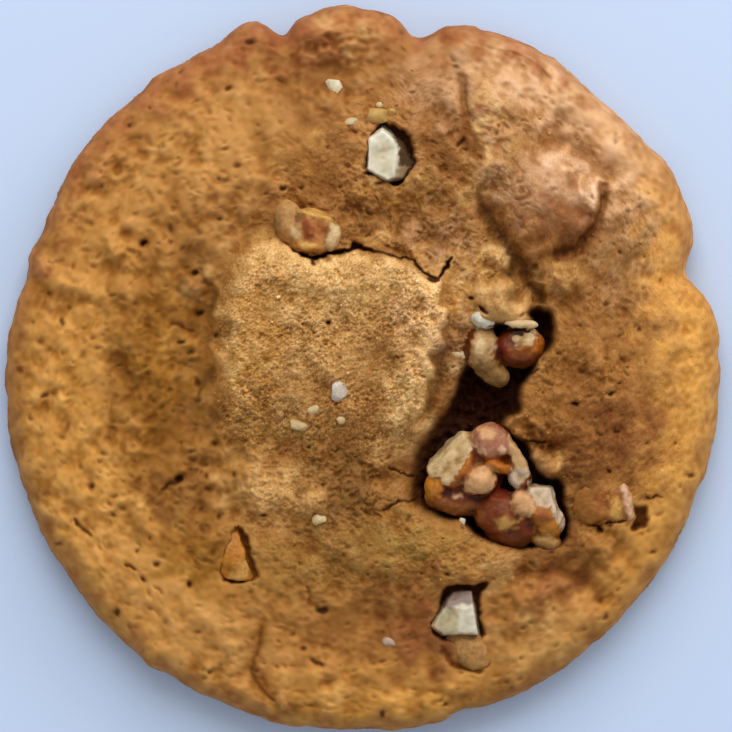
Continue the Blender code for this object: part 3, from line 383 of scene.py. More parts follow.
class CrustMap:
    """The height of the crust on a square grid, without the edge's rounding.

    `height` is the broad form and `relief` what stands off it; `sunk` is the part of the relief
    that is pits, nicks and cracks.
    """

    def __init__(self):
        line = (np.arange(MAP_CELLS) + 0.5) * MAP_PITCH - MAP_REACH
        self.x, self.y = np.meshgrid(line, line)
        across, along = np.fft.rfftfreq(MAP_CELLS, MAP_PITCH), np.fft.fftfreq(MAP_CELLS, MAP_PITCH)
        self.frequency = np.hypot(*np.meshgrid(across, along))
        self.height = self.plain_crust()
        self.stray()
        self.add_lumps()
        self.add_plateau()
        self.open_crevice()
        self.sink_sockets()
        self.crumbly = CRUMBLY_SHARE * self.soften(inside(self.x, self.y, CRUMBLY), CRUMBLY_EDGE)
        slab = self.soften(inside(self.x, self.y, PLATEAU), CRUMBLY_SLAB_EDGE)
        self.crumbly += (1.0 - self.crumbly) * slab
        self.cloddy = self.spots(CLODDY)
        self.relief = self.roughen()
        self.sink_pits()
        self.top = self.height + self.relief

    def around(self, x, y, reach):
        """The part of the map within `reach` mm of a place, as slices."""
        ends = [np.clip((np.array([at - reach, at + reach]) + MAP_REACH) / MAP_PITCH, 0, MAP_CELLS)
                for at in (y, x)]
        return tuple(slice(int(low), int(high) + 1) for low, high in ends)

    def around_ellipse(self, place, radii, margin):
        """The part of the map within so many of an ellipse's radii, and a margin in mm."""
        cx, cy, across, along, _ = place
        return self.around(cx, cy, radii * max(across, along) + margin)

    def soften(self, field, spread):
        """The field blurred by `spread` mm."""
        pass_through = np.exp(-2.0 * (math.pi * spread * self.frequency) ** 2)
        return np.fft.irfft2(np.fft.rfft2(field) * pass_through, s=field.shape)

    def bumps(self, size, seed):
        """A seeded random field, mean 0 and spread 1, with bumps about `size` mm apart."""
        grit = np.random.default_rng(seed).standard_normal(self.x.shape)
        band = np.exp(-((self.frequency * size - 1.0) / BUMP_BAND) ** 2)
        field = np.fft.irfft2(np.fft.rfft2(grit) * band, s=grit.shape)
        return field / field.std()

    def creases(self, size, seed):
        """1 in the creases between rounded cells about `size` mm wide, 0 on the cells."""
        draw = np.random.default_rng(seed)
        count = int(2 * MAP_REACH / size) + 6
        shift = draw.uniform(*CELL_MIDDLES, (2, count, count)).astype(np.float32)
        u = ((self.sx + MAP_REACH) / size + 2.0).astype(np.float32)
        v = ((self.sy + MAP_REACH) / size + 2.0).astype(np.float32)
        column, row = u.astype(int), v.astype(int)
        u -= column
        v -= row
        nearest, second = np.full(u.shape, 9.0, np.float32), np.full(u.shape, 9.0, np.float32)
        for right in (-1, 0, 1):
            for up in (-1, 0, 1):
                at = ((column + right) % count, (row + up) % count)
                away = np.hypot(right + shift[0][at] - u, up + shift[1][at] - v)
                second = np.minimum(second, np.maximum(nearest, away))
                nearest = np.minimum(nearest, away)
        return 1.0 - ease(0.0, CREASE_WIDTH, second - nearest)

    def spots(self, places):
        """How strongly any of the soft-edged ellipses covers each point, 0 to 1."""
        cover = np.zeros(self.x.shape)
        for *place, strength in places:
            here = self.around_ellipse(place, SPOT_CUT, CUT_MARGIN)
            spot = strength * soft_ellipse(self.sx[here], self.sy[here], place)
            cover[here] = 1.0 - (1.0 - cover[here]) * (1.0 - spot)
        return cover

    def stray(self):
        """Places moved about a little, so that outlines drawn with them are ragged, and less so."""
        self.sx, self.sy = self.x.copy(), self.y.copy()
        for size, reach, seed in WANDER:
            self.sx += reach * self.bumps(size, seed)
            self.sy += reach * self.bumps(size, seed + 100)
        self.nx = self.x + NEARLY * (self.sx - self.x)
        self.ny = self.y + NEARLY * (self.sy - self.y)

    def plain_crust(self):
        radius = np.hypot(self.x, self.y)
        edge = edge_radius(np.arctan2(self.y, self.x))
        return CROWN_HEIGHT - RIM_DROP * ease(RIM_START, 1.0, radius / edge)

    def add_lumps(self):
        for *place, height in SWELLS:
            here = self.around_ellipse(place, SWELL_CUT, CUT_MARGIN)
            self.height[here] += height * soft_ellipse(self.sx[here], self.sy[here], place)
        domes = np.zeros(self.x.shape)
        for *place, height in LUMPS:
            out = ellipse_reach(self.sx, self.sy, *place)
            domes += height * np.clip(1.0 - out ** 2, 0.0, 1.0) ** DOMING
        self.height += self.soften(domes, LUMP_EDGE)
        self.furrowed = self.soften(self.grooves(FURROWS), FURROW_EDGE)
        self.height -= self.furrowed
        gap, passed = gap_to_path(self.sx, self.sy, MOAT)
        hollow = MOAT_DEPTH * np.exp(-(gap / MOAT_HALF_WIDTH) ** 2) * ease(*MOAT_ENDS, passed)
        self.height -= self.soften(hollow, MOAT_EDGE)
        self.height += TONGUE_RISE * self.soften(inside(self.sx, self.sy, TONGUE), TONGUE_EDGE)

    def grooves(self, lines):
        """How deep the furrows or cracks are at each point."""
        deep = np.zeros(self.x.shape)
        for half_width, depth, path in lines:
            middle = np.mean(path, axis=0)
            reach = max(math.dist(middle, point) for point in path)
            here = self.around(*middle, reach + GROOVE_CUT * half_width + CUT_MARGIN)
            gap, _ = gap_to_path(self.nx[here], self.ny[here], path)
            deep[here] = np.maximum(deep[here], depth * np.exp(-(gap / half_width) ** 2))
        return deep

    def add_plateau(self):
        x, y = self.sx, self.sy
        slab = inside(x, y, PLATEAU)
        west, south = ease(*SLAB_WEST, x), ease(*SLAB_SOUTH, y)
        rise = self.soften(slab, SLAB_EDGE) * (1.0 - west) + self.soften(slab, SLAB_WEST_EDGE) * west
        rise = rise * (1.0 - south) + self.soften(slab, SLAB_SOUTH_EDGE) * south
        gap, passed = gap_to_path(x, y, PLATEAU_CREST)
        level = PLATEAU_HEIGHT - PLATEAU_DIP * ease(*PLATEAU_DIPS, y)
        level += CREST_RISE * np.exp(-(gap / CREST_HALF_WIDTH) ** 2) * (1.0 - CREST_FADE * passed)
        for *place, height in PLATEAU_SWELLS:
            level += height * soft_ellipse(x, y, place)
        self.height += (level - self.height) * rise

    def open_crevice(self):
        opening = inside(self.nx, self.ny, CREVICE)
        west = ease(*CREVICE_WEST, self.x)
        self.torn = self.soften(opening, CREVICE_EDGE) * (1.0 - west)
        self.torn += self.soften(opening, CREVICE_WEST_EDGE) * west
        size, height, seed = CREVICE_BUMPS
        self.height += (CREVICE_FLOOR + height * self.bumps(size, seed) - self.height) * self.torn

    def sink_sockets(self):
        deep = np.zeros(self.x.shape)
        for depth, outline in SOCKETS:
            deep = np.maximum(deep, depth * inside(self.nx, self.ny, outline))
        self.socketed = self.soften(deep, SOCKET_EDGE)
        self.height -= self.socketed

    def roughen(self):
        size, share, seed = PATCHINESS
        self.lively = 1.0 - self.spots(CALM)
        stretches = np.clip(1.0 + share * self.bumps(size, seed), *PATCHINESS_LIMITS) * self.lively
        rough = np.zeros(self.x.shape)
        for size, on_smooth, on_crumbly, seed in ROUGHNESS:
            rough += self.by_crumb(on_smooth, on_crumbly) * stretches * self.bumps(size, seed)
        size, share, seed = CREASE_BREAKS
        stretches = np.clip(1.0 - share + share * self.bumps(size, seed), *CREASE_LIMITS) * self.lively
        for size, on_smooth, on_crumbly, on_cloddy, seed in CREASES:
            depth = self.by_crumb(on_smooth, on_crumbly) * stretches
            depth += (on_cloddy - depth) * self.cloddy
            rough -= depth * self.creases(size, seed)
        return self.blur_smooth_crust(rough)

    def by_crumb(self, on_smooth, on_crumbly):
        """A value for smooth crust and one for crumbly crust, as a field between them."""
        return on_smooth + (on_crumbly - on_smooth) * self.crumbly

    def blur_smooth_crust(self, field):
        """The field, softened where the crust is smooth."""
        soft = self.soften(field, SMOOTH_BLUR)
        return soft + (field - soft) * ease(*CRUMBLY_LIMITS, self.crumbly)

    def sink_pits(self):
        """Pits with steep sides and a dished rim."""
        sunk = self.grooves(CRACKS)
        for *place, depth in PITS + self.stray_pits():
            here = self.around_ellipse(place, PIT_CUT, PIT_MARGIN)
            out = ellipse_reach(self.nx[here], self.ny[here], *place)
            steep = (1.0 - PIT_DISHING) * np.exp(-out ** 4)
            dished = PIT_DISHING * np.exp(-(out / PIT_DISH) ** 2)
            sunk[here] = np.maximum(sunk[here], depth * (steep + dished))
        self.sunk = self.blur_smooth_crust(self.soften(sunk, PIT_EDGE))
        self.relief -= self.sunk

    def stray_pits(self):
        """Small pits and nicks, longer than wide."""
        pits = []
        for count, lengths, shares, depths, on_crumbly, seed in STRAYS:
            draw = np.random.default_rng(seed)
            left = count
            while left:
                cx, cy = draw.uniform(-STRAY_REACH, STRAY_REACH, 2)
                length, share, depth = draw.uniform(*lengths), draw.uniform(*shares), draw.uniform(*depths)
                turn = STRAY_LEAN * draw.standard_normal()
                crumbly = self.read(self.crumbly, cx, cy)
                chance = (crumbly if on_crumbly else 1.0 - crumbly) * self.read(self.lively, cx, cy)
                if math.hypot(cx, cy) < STRAY_REACH and draw.uniform() < chance:
                    pits.append((cx, cy, length, length * share, turn, depth))
                    left -= 1
        return tuple(pits)

    def read(self, field, x, y):
        """A field's value at points, between the grid's own points by proportion."""
        column = (np.asarray(x) + MAP_REACH) / MAP_PITCH - 0.5
        row = (np.asarray(y) + MAP_REACH) / MAP_PITCH - 0.5
        c0, r0 = np.floor(column).astype(int), np.floor(row).astype(int)
        fc, fr = column - c0, row - r0
        if field.ndim == 3:
            fc, fr = fc[:, None], fr[:, None]
        near = field[r0, c0] * (1 - fc) + field[r0, c0 + 1] * fc
        far = field[r0 + 1, c0] * (1 - fc) + field[r0 + 1, c0 + 1] * fc
        return near * (1 - fr) + far * fr


# ---- how the crust browned

# Patches of colour on the golden crust: tint, x, y, radius across, radius along, turn, strength. Many are
# painted light and shade, as the headings below say.
PATCHES = (
    # the whole north is a little mauve
    ("mauve", 0.0, 30.0, 32.0, 14.0, 0, 0.10),
    # west: the brown rim, the bright band inside it and the bowl darkened by painted shade; painted shade in
    # the moat and a painted highlight on the slab's west edge
    ("ruddy", -32.5, 26.5, 2.8, 13.0, -32, 0.5), ("gold", -22.0, 25.0, 9.0, 8.0, 0, 0.25),
    ("ruddy", -14.6, 39.6, 3.2, 2.6, 0, 0.8), ("brown", -16.5, 39.0, 1.5, 1.2, 0, 0.5),
    ("ruddy", -38.0, 14.0, 2.0, 6.0, -15, 0.3), ("rim", -27.0, -29.5, 3.4, 8.0, 48, 0.5),
    ("amber", -25.2, -0.5, 5.6, 13.0, 0, 0.9), ("deep", -22.5, -5.5, 4.0, 3.0, 0, 0.4),
    ("deep", -29.5, 1.0, 3.0, 5.5, 0, 0.4), ("gold", -22.6, 1.5, 3.2, 4.4, 0, 0.55),
    ("gold", -18.6, 0.0, 1.6, 5.0, 0, 0.5), ("brown", -23.4, -15.0, 3.4, 2.4, 0, 0.75),
    ("deep", -23.0, -20.0, 4.4, 5.6, 0, 0.5), ("amber", -21.6, -24.4, 7.0, 5.0, 0, 0.95),
    ("deep", -18.8, 8.2, 1.3, 6.0, 14, 0.95), ("deep", -19.2, -3.0, 1.2, 5.6, 0, 0.9),
    ("pale", -15.8, 3.0, 1.2, 9.0, 4, 0.9), ("deep", -13.6, 18.4, 2.0, 3.4, 40, 0.35),
    ("gold", -18.5, -12.5, 3.0, 2.4, 0, 0.3), ("pale", -12.0, -14.4, 4.4, 3.6, 0, 0.6),
    # north, with painted sheen towards the north-east and painted shade in its furrows and hollows
    ("brown", -7.4, 32.4, 3.2, 2.6, 0, 0.45), ("gold", -8.5, 25.0, 3.0, 3.4, 0, 0.3),
    ("rim", -16.0, 32.0, 4.5, 3.5, 0, 0.4), ("rim", -16.0, 24.6, 4.6, 4.4, 0, 0.6),
    ("ruddy", -8.4, 40.0, 4.4, 3.0, 0, 0.95), ("brown", -8.6, 39.4, 3.2, 2.4, 0, 0.7),
    ("ruddy", -3.0, 38.4, 5.0, 2.2, 0, 0.5), ("pale", -1.0, 40.8, 3.4, 1.6, 0, 0.7),
    ("brown", -9.8, 21.4, 3.0, 1.2, 20, 0.5), ("brown", -3.6, 20.4, 4.6, 1.6, 0, 0.5),
    ("gold", 3.2, 21.2, 3.2, 1.2, 10, 0.8), ("brown", 8.6, 25.0, 2.8, 7.5, 0, 0.6),
    ("pale", 14.2, 28.0, 1.8, 6.5, -3, 0.5), ("umber", 11.7, 33.6, 0.7, 2.6, 0, 0.75),
    ("ruddy", 11.7, 29.4, 0.7, 3.4, 0, 0.8), ("brown", 12.1, 36.2, 1.0, 1.4, 0, 0.5),
    ("blush", 9.0, 34.0, 5.0, 4.0, 0, 0.4), ("brown", 8.4, 40.4, 3.0, 1.8, 0, 0.35),
    ("umber", 24.3, 13.7, 0.7, 0.5, 0, 0.9), ("ruddy", 12.0, 41.0, 5.0, 1.6, -8, 0.5),
    ("blush", 20.0, 33.4, 6.0, 3.4, -35, 0.65), ("ruddy", 24.0, 36.5, 4.5, 1.0, -35, 0.5),
    ("blush", 30.6, 28.5, 3.6, 5.0, 25, 0.4), ("brown", 30.6, 23.6, 3.0, 2.4, 0, 0.4),
    ("blush", 16.4, 23.6, 2.2, 3.0, 0, 0.5), ("mauve", 17.2, 19.0, 2.0, 3.6, 0, 0.4),
    ("deep", 15.6, 23.6, 1.6, 2.6, 0, 0.4),
    # the clods round the slab and the lump
    ("pale", 5.0, 22.2, 1.5, 0.8, 0, 0.6), ("pale", 13.3, 20.8, 1.2, 1.6, 10, 0.55),
    ("pale", 14.6, 24.0, 1.1, 1.4, 0, 0.5), ("pale", 23.4, 10.8, 2.1, 1.5, 20, 0.5),
    ("pale", 29.9, 25.8, 1.9, 1.4, -30, 0.45), ("pale", 20.4, 29.4, 1.5, 1.2, 0, 0.4),
    ("pale", 18.9, 15.7, 1.3, 1.0, 0, 0.5), ("pale", 8.0, 18.2, 1.9, 1.1, -20, 0.45),
    ("pale", 14.6, 32.2, 1.2, 1.8, 0, 0.4), ("pale", 8.2, 22.8, 1.1, 0.9, 0, 0.4),
    ("pale", 26.4, 10.0, 1.2, 1.0, 0, 0.35),
    # the lump in the north-east and what lies round it, with a painted highlight along the lump's lit edge
    # and painted shade on its southern flanks and in the valley behind it
    ("deep", 25.6, 26.4, 3.2, 1.0, -25, 0.55), ("mauve", 21.6, 21.8, 3.2, 3.0, 0, 0.5),
    ("ruddy", 21.6, 16.6, 4.0, 2.2, 0, 0.7), ("umber", 26.4, 16.4, 1.3, 3.8, -34, 0.9),
    ("ruddy", 25.0, 18.4, 2.4, 3.4, -25, 0.7), ("brown", 24.6, 16.0, 2.0, 1.4, 35, 0.8),
    ("mauve", 23.2, 20.4, 3.8, 2.6, 20, 0.6), ("blush", 23.4, 22.4, 4.2, 2.2, 15, 0.45),
    ("brown", 22.4, 18.6, 3.6, 1.8, 0, 0.4), ("brown", 25.0, 24.0, 6.0, 5.0, 0, 0.3),
    ("blush", 26.8, 21.8, 0.7, 2.4, 10, 0.95), ("blush", 24.6, 24.2, 2.4, 0.8, -30, 0.8),
    ("blush", 22.4, 24.6, 3.0, 0.9, -8, 0.4), ("blush", 30.2, 21.6, 1.0, 3.2, 15, 0.5),
    ("rim", 36.4, 19.0, 2.8, 6.0, 12, 0.45), ("brown", 24.6, 12.6, 2.6, 2.0, 0, 0.5),
    # around the slab, with painted shade in the hollow north of it, at the foot of its eastern crest and in
    # the gaps by the clods
    ("deep", 2.4, 17.4, 7.5, 2.6, -8, 0.5), ("mauve", 9.0, 15.2, 4.0, 3.0, 0, 0.45),
    ("deep", 18.6, 11.2, 2.2, 1.6, -40, 0.9), ("gold", 22.8, 10.6, 1.4, 1.6, 0, 0.5),
    ("pale", 16.4, 7.4, 3.6, 2.4, -38, 0.85), ("pale", 15.7, 13.6, 2.1, 2.6, 0, 0.8),
    ("sand", 11.6, 9.0, 2.6, 4.0, -15, 0.6), ("grey", 30.8, 12.0, 3.4, 6.0, -10, 0.8),
    ("deep", 8.4, -1.6, 1.2, 4.6, -10, 0.85), ("deep", 10.9, 3.6, 0.8, 3.8, 12, 0.8),
    ("brown", 24.6, 7.6, 2.6, 3.4, 0, 0.5), ("mauve", 11.2, 3.6, 2.0, 3.0, 0, 0.5),
    ("brown", 6.2, -11.6, 1.6, 3.4, 10, 0.8), ("brown", 10.6, -1.6, 1.2, 2.6, -20, 0.5),
    ("ruddy", -9.2, -9.6, 2.8, 1.1, 0, 0.6), ("brown", -13.0, -8.8, 3.4, 1.0, 12, 0.5),
    # the slab, with a painted highlight along its lit north edge and eastern crest
    ("pale", -5.0, 12.2, 10.5, 2.4, 0, 0.85), ("pale", -12.6, 13.6, 3.0, 2.0, 20, 0.8),
    ("pale", -4.0, 8.2, 9.0, 3.4, 0, 0.75), ("gold", -14.2, 2.0, 3.4, 9.0, 0, 0.65),
    ("pale", -6.0, 2.0, 7.0, 6.0, 0, 0.55), ("sand", -8.6, -5.4, 4.0, 2.0, 0, 0.4),
    ("olive", -10.0, -8.0, 5.0, 1.8, 0, 0.5), ("blush", 7.4, 7.4, 2.4, 5.8, -8, 1.0),
    ("pale", 8.6, 8.2, 3.0, 4.2, -8, 1.0), ("pale", 6.4, 1.0, 1.6, 5.0, -8, 0.6),
    ("pale", 4.2, 10.4, 4.0, 2.4, 0, 0.6), ("pale", 4.6, -3.0, 2.8, 6.2, -6, 0.9),
    ("brown", 2.2, 1.6, 1.6, 2.8, 0, 0.45), ("amber", -12.0, 3.4, 0.7, 0.9, 0, 0.8),
    ("amber", -9.9, 9.5, 0.9, 0.6, 0, 0.7), ("pale", 3.4, -9.6, 3.0, 2.4, 0, 0.35),
    # east, with the pale rim partly painted sheen and painted shade in the dark gaps by the large walnut
    ("rim", 40.4, 2.0, 4.0, 11.0, 0, 1.0), ("gold", 36.6, 5.6, 2.6, 4.0, 0, 0.3),
    ("brown", 31.4, 6.6, 3.0, 2.4, 0, 0.45), ("brown", 25.0, -2.0, 3.6, 6.0, 0, 0.45),
    ("ruddy", 31.6, -8.0, 6.0, 4.0, 0, 0.85), ("brown", 31.0, -7.8, 4.4, 3.2, 0, 0.8),
    ("brown", 25.6, -11.0, 4.6, 4.0, 0, 0.85), ("umber", 24.7, -17.4, 1.8, 4.6, 0, 0.95),
    ("pale", 21.4, -11.2, 1.1, 1.0, 0, 0.9), ("umber", 22.4, -14.0, 1.8, 0.6, -20, 0.85),
    ("brown", 17.6, -7.0, 1.4, 1.4, 0, 0.6), ("umber", 19.2, -8.6, 1.8, 0.5, -50, 0.7),
    ("rim", 38.8, -12.0, 2.8, 7.0, -15, 0.5), ("brown", 32.0, -20.6, 3.0, 2.0, 0, 0.55),
    ("brown", 24.4, -24.4, 5.0, 4.0, 0, 0.95), ("brown", 24.0, -23.4, 4.0, 3.0, 0, 0.7),
    ("ruddy", 27.0, -28.6, 3.0, 2.2, 30, 0.5), ("ruddy", 21.4, -26.0, 3.0, 2.4, 0, 0.5),
    ("rim", 33.0, -25.0, 2.6, 5.0, -42, 0.35), ("pale", 16.0, -24.2, 2.6, 1.8, 0, 0.5),
    ("pale", 21.0, -33.0, 6.0, 3.0, 25, 0.5),
    # south, with painted shade at the slab's southern foot and beside the south walnut
    ("olive", 4.0, -21.2, 8.0, 3.2, 0, 0.7), ("deep", -2.0, -14.4, 5.0, 5.2, 0, 0.8),
    ("pale", -7.4, -15.4, 2.4, 3.0, 0, 0.35), ("brown", 4.4, -13.0, 2.6, 2.4, 0, 0.4),
    ("brown", 3.0, -29.6, 4.2, 3.4, 0, 0.85), ("ruddy", 7.2, -33.4, 3.4, 3.0, -10, 0.8),
    ("brown", 7.2, -33.4, 3.2, 3.0, -10, 0.95), ("ruddy", 6.4, -31.6, 2.4, 3.0, 0, 0.5),
    ("brown", 12.6, -37.0, 2.6, 0.8, 5, 0.7), ("brown", 8.2, -28.6, 1.0, 1.8, -30, 0.6),
    ("olive", -9.0, -24.5, 8.0, 4.0, 0, 0.4), ("brown", 7.8, -29.0, 1.4, 3.0, 0, 0.7),
    ("brown", -4.8, -32.0, 3.4, 3.0, 0, 0.35), ("ruddy", -12.6, -37.5, 1.8, 4.6, 10, 0.55),
    ("rim", -20.5, -33.0, 5.0, 3.0, -25, 0.6), ("honey", 3.6, -40.6, 10.0, 2.8, 0, 0.9),
    ("honey", -7.6, -39.6, 3.6, 2.4, 0, 0.6),
)
# Bands of colour along the rim: tint, bearing and half width in degrees, how far in from the edge
# and half width in mm, strength.
# The honey and gold bands also serve as painted light, lightening the rounded rim where it turns from the
# lamps, and the pale pink band is painted sheen.
RIM_BANDS = (
    ("honey", 196, 44, 7.6, 4.6, 0.8), ("rim", 140, 24, 8.0, 5.0, 0.3), ("gold", 190, 60, 2.5, 3.0, 0.45),
    ("rim", 232, 22, 7.0, 3.4, 0.6), ("ruddy", 150, 30, 0.0, 2.2, 0.5), ("ruddy", 118, 20, 1.5, 3.0, 0.7),
    ("ruddy", 84, 14, 1.0, 2.2, 0.6), ("ruddy", 66, 14, 0.4, 1.6, 0.6), ("blush", 44, 20, 4.0, 4.6, 0.65),
    ("honey", 2, 30, 2.6, 3.8, 0.95), ("honey", 330, 24, 3.0, 4.0, 0.6), ("gold", 268, 26, 2.2, 2.6, 0.5),
    ("ruddy", 0, 500, 0.0, 0.9, 0.35),
)
PATCH_WANDER = (4.0, 1.1, 17)   # how the patches' outlines stray: size mm, reach mm, seed
MOTTLING = (                # size mm, share of the brightness on smooth and on crumbly crust, seed
    (6.0, 0.05, 0.03, 81), (2.6, 0.03, 0.04, 82), (1.2, 0.018, 0.045, 83), (0.6, 0.008, 0.06, 84),
    (0.32, 0.0, 0.15, 85),
)
CALM_MOTTLING = 0.4         # share of it that calm crust has
TONE_SWING = (1.0, 1.4, 2.2)    # how red, green and blue follow the brightness
TONE_LIMITS = (0.05, 2.0)
# Painted shade in hollows and painted highlight on crests: reach mm, the height in mm that counts in full,
# and the shares.
CRUST_SHADE_AND_HIGHLIGHT = ((0.4, 0.10, 0.15, 0.06), (1.3, 0.40, 0.14, 0.08))
PIT_SHADE_DEPTHS = (0.05, 0.65)    # mm deep, where the painted shade in a pit starts and where it is full
FURROW_SHADE_DEPTHS = (1.0, 2.4)   # the same for the painted shade in a furrow or socket
TORN_CRUMB_AND_SHADE = 0.96        # of the moist crumb in the torn opening, darkened past its own colour as painted shade
TORN_EDGE_SHADE = 0.7           # how dark the painted shade on the crust along it is
TORN_EDGE_SHADE_REACH = 0.45    # mm


def tone(colour, value):
    """A colour darkened or lightened by a value round 1; it turns redder as it darkens."""
    return colour * np.clip(value, *TONE_LIMITS)[..., None] ** np.array(TONE_SWING)


def laid_over(colour, tint, share):
    """A colour with a tint laid over it by a share."""
    return colour + (np.array(tint) - colour) * share[..., None]


def paint(crust):
    """The colour of the crust over the map, with painted shade and highlight laid into it."""
    size, reach, seed = PATCH_WANDER
    x = crust.x + reach * crust.bumps(size, seed)
    y = crust.y + reach * crust.bumps(size, seed + 1)
    colour = np.empty(crust.x.shape + (3,))
    colour[:] = GOLDEN
    for name, *place, strength in PATCHES:
        here = crust.around_ellipse(place, SPOT_CUT, PATCH_MARGIN * reach)
        spot = strength * soft_ellipse(x[here], y[here], place)
        colour[here] = laid_over(colour[here], CRUST_TINTS[name], spot)
    bearings = np.degrees(np.arctan2(y, x))
    inward = edge_radius(np.radians(bearings)) - np.hypot(x, y)
    for name, bearing, half_width, far_in, half_band, strength in RIM_BANDS:
        away = (bearings - bearing + 180.0) % 360.0 - 180.0
        band = strength * np.exp(-(away / half_width) ** 2 - ((inward - far_in) / half_band) ** 2)
        colour = laid_over(colour, CRUST_TINTS[name], band)
    value = np.ones(crust.x.shape)
    lively = CALM_MOTTLING + (1.0 - CALM_MOTTLING) * crust.lively
    for size, on_smooth, on_crumbly, seed in MOTTLING:
        value += crust.by_crumb(on_smooth, on_crumbly) * lively * crust.bumps(size, seed)
    above = crust.top + crust.sunk
    # Painted shade in the hollows and painted highlight on the crests.
    for reach, full, darker, lighter in CRUST_SHADE_AND_HIGHLIGHT:
        stands = np.clip((above - crust.soften(above, reach)) / full, -1.0, 1.0)
        value *= 1.0 + np.where(stands > 0.0, lighter, darker) * stands
    colour = tone(colour, value)
    # Painted shade in pits, furrows, sockets and along the torn edge, and the torn crumb darkened past its
    # own colour.
    for tint, share in ((PIT_SHADE_BROWN, ease(*PIT_SHADE_DEPTHS, crust.sunk)),
                        (HOLLOW_SHADE_BROWN, ease(*FURROW_SHADE_DEPTHS, crust.furrowed + crust.socketed)),
                        (HOLLOW_SHADE_BROWN, TORN_EDGE_SHADE * crust.soften(crust.torn, TORN_EDGE_SHADE_REACH)),
                        (TORN_CRUMB_SHADE_BROWN, TORN_CRUMB_AND_SHADE * crust.torn)):
        colour = laid_over(colour, tint, share)
    return colour


# ---- Blender helpers

def deselect():
    bpy.ops.object.select_all(action="DESELECT")


def choose(*things):
    """Select these things and nothing else, the first as the active one."""
    deselect()
    for thing in things:
        thing.select_set(True)
    bpy.context.view_layer.objects.active = things[0]


def read_points(thing):
    flat = np.empty(len(thing.data.vertices) * 3)
    thing.data.vertices.foreach_get("co", flat)
    return flat.reshape(-1, 3)


def write_points(thing, points):
    thing.data.vertices.foreach_set("co", np.ascontiguousarray(points, np.float32).ravel())
    thing.data.update()


def read_normals(thing):
    flat = np.empty(len(thing.data.vertices) * 3)
    thing.data.vertices.foreach_get("normal", flat)
    return flat.reshape(-1, 3)


def write_mask(thing, name, values):
    mask = thing.data.attributes.new(name, "FLOAT", "POINT")
    mask.data.foreach_set("value", np.ascontiguousarray(values, np.float32))


def write_colour(thing, name, colours):
    layer = thing.data.color_attributes.new(name, "FLOAT_COLOR", "POINT")
    rgba = np.ones((len(colours), 4), np.float32)
    rgba[:, :3] = colours
    layer.data.foreach_set("color", rgba.ravel())


def apply_modifier(thing, modifier):
    bpy.context.view_layer.objects.active = thing
    bpy.ops.object.modifier_apply(modifier=modifier.name)


def join(things):
    choose(*things)
    bpy.ops.object.join()
    return things[0]


def in_metres(thing, name, material, node=None):
    """Name a finished piece, bring it to metres, dress it and hand it to the frame."""
    thing.name = name
    thing.data.name = name
    choose(thing)
    bpy.ops.transform.resize(value=(MM, MM, MM), center_override=(0.0, 0.0, 0.0))
    bpy.ops.object.transform_apply(location=True, rotation=True, scale=True)
    bpy.ops.object.mode_set(mode="EDIT")
    bpy.ops.mesh.select_all(action="SELECT")
    bpy.ops.mesh.normals_make_consistent(inside=False)
    bpy.ops.object.mode_set(mode="OBJECT")
    bpy.ops.object.shade_smooth()
    thing.data.materials.clear()
    thing.data.materials.append(material)
    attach(thing, "root")
    if node:
        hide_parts(node)
    deselect()
    return thing


def waves(points, size, seed):
    """A seeded random field in space, mean 0 and spread 1, with bumps about `size` mm apart."""
    draw = np.random.default_rng(seed)
    ways = draw.standard_normal((WAVE_COUNT, 3))
    ways /= np.linalg.norm(ways, axis=1, keepdims=True)
    ways *= 2.0 * math.pi / (size * draw.uniform(*WAVE_LENGTHS, (WAVE_COUNT, 1)))
    phases = draw.uniform(0.0, 2.0 * math.pi, WAVE_COUNT)
    field = np.zeros(len(points))
    for way, phase in zip(ways, phases):
        field += np.sin(points @ way + phase)
    return field / math.sqrt(WAVE_COUNT / 2.0)


# ---- shader node helpers

def node(tree, kind, **values):
    made = tree.nodes.new(kind)
    for name, value in values.items():
        setattr(made, name, value)
    return made


def feed(tree, socket, source):
    """Link a socket to an output, or set it to a plain value."""
    if isinstance(source, bpy.types.NodeSocket):
        tree.links.new(source, socket)
    else:
        socket.default_value = source


def calc(tree, operation, a, b):
    made = node(tree, "ShaderNodeMath", operation=operation)
    feed(tree, made.inputs[0], a)
    feed(tree, made.inputs[1], b)
    return made.outputs[0]


def shaded(tree, colour, shade):
    """A colour made brighter or darker by a value round 1."""
    made = node(tree, "ShaderNodeVectorMath", operation="SCALE")
    feed(tree, made.inputs[0], colour)
    feed(tree, made.inputs["Scale"], shade)
    return made.outputs[0]


def blend(tree, share, a, b):
    """Plain colour a, with plain colour b laid over it by a share."""
    made = node(tree, "ShaderNodeMix", data_type="RGBA")
    feed(tree, made.inputs["Factor"], share)
    feed(tree, made.inputs[6], (*a, 1.0))
    feed(tree, made.inputs[7], (*b, 1.0))
    return made.outputs[2]


def span(tree, value, low, high, to_low=0.0, to_high=1.0):
    """A value between two limits, spread over a new range and held within it."""
    made = node(tree, "ShaderNodeMapRange", interpolation_type="SMOOTHSTEP")
    for socket, given in zip(made.inputs[:5], (value, low, high, to_low, to_high)):
        feed(tree, socket, given)
    return made.outputs[0]


def noise(tree, place, size, detail=2.0, roughness=0.5, distortion=0.0):
    """A noise texture with spots about `size` mm apart."""
    made = node(tree, "ShaderNodeTexNoise")
    feed(tree, made.inputs["Vector"], place)
    made.inputs["Scale"].default_value = 1.0 / (size * MM)
    made.inputs["Detail"].default_value = detail
    made.inputs["Roughness"].default_value = roughness
    made.inputs["Distortion"].default_value = distortion
    return made.outputs["Fac"]


def mask_of(tree, name):
    return node(tree, "ShaderNodeAttribute", attribute_name=name).outputs["Fac"]


def colour_of(tree, name):
    return node(tree, "ShaderNodeAttribute", attribute_name=name).outputs["Color"]


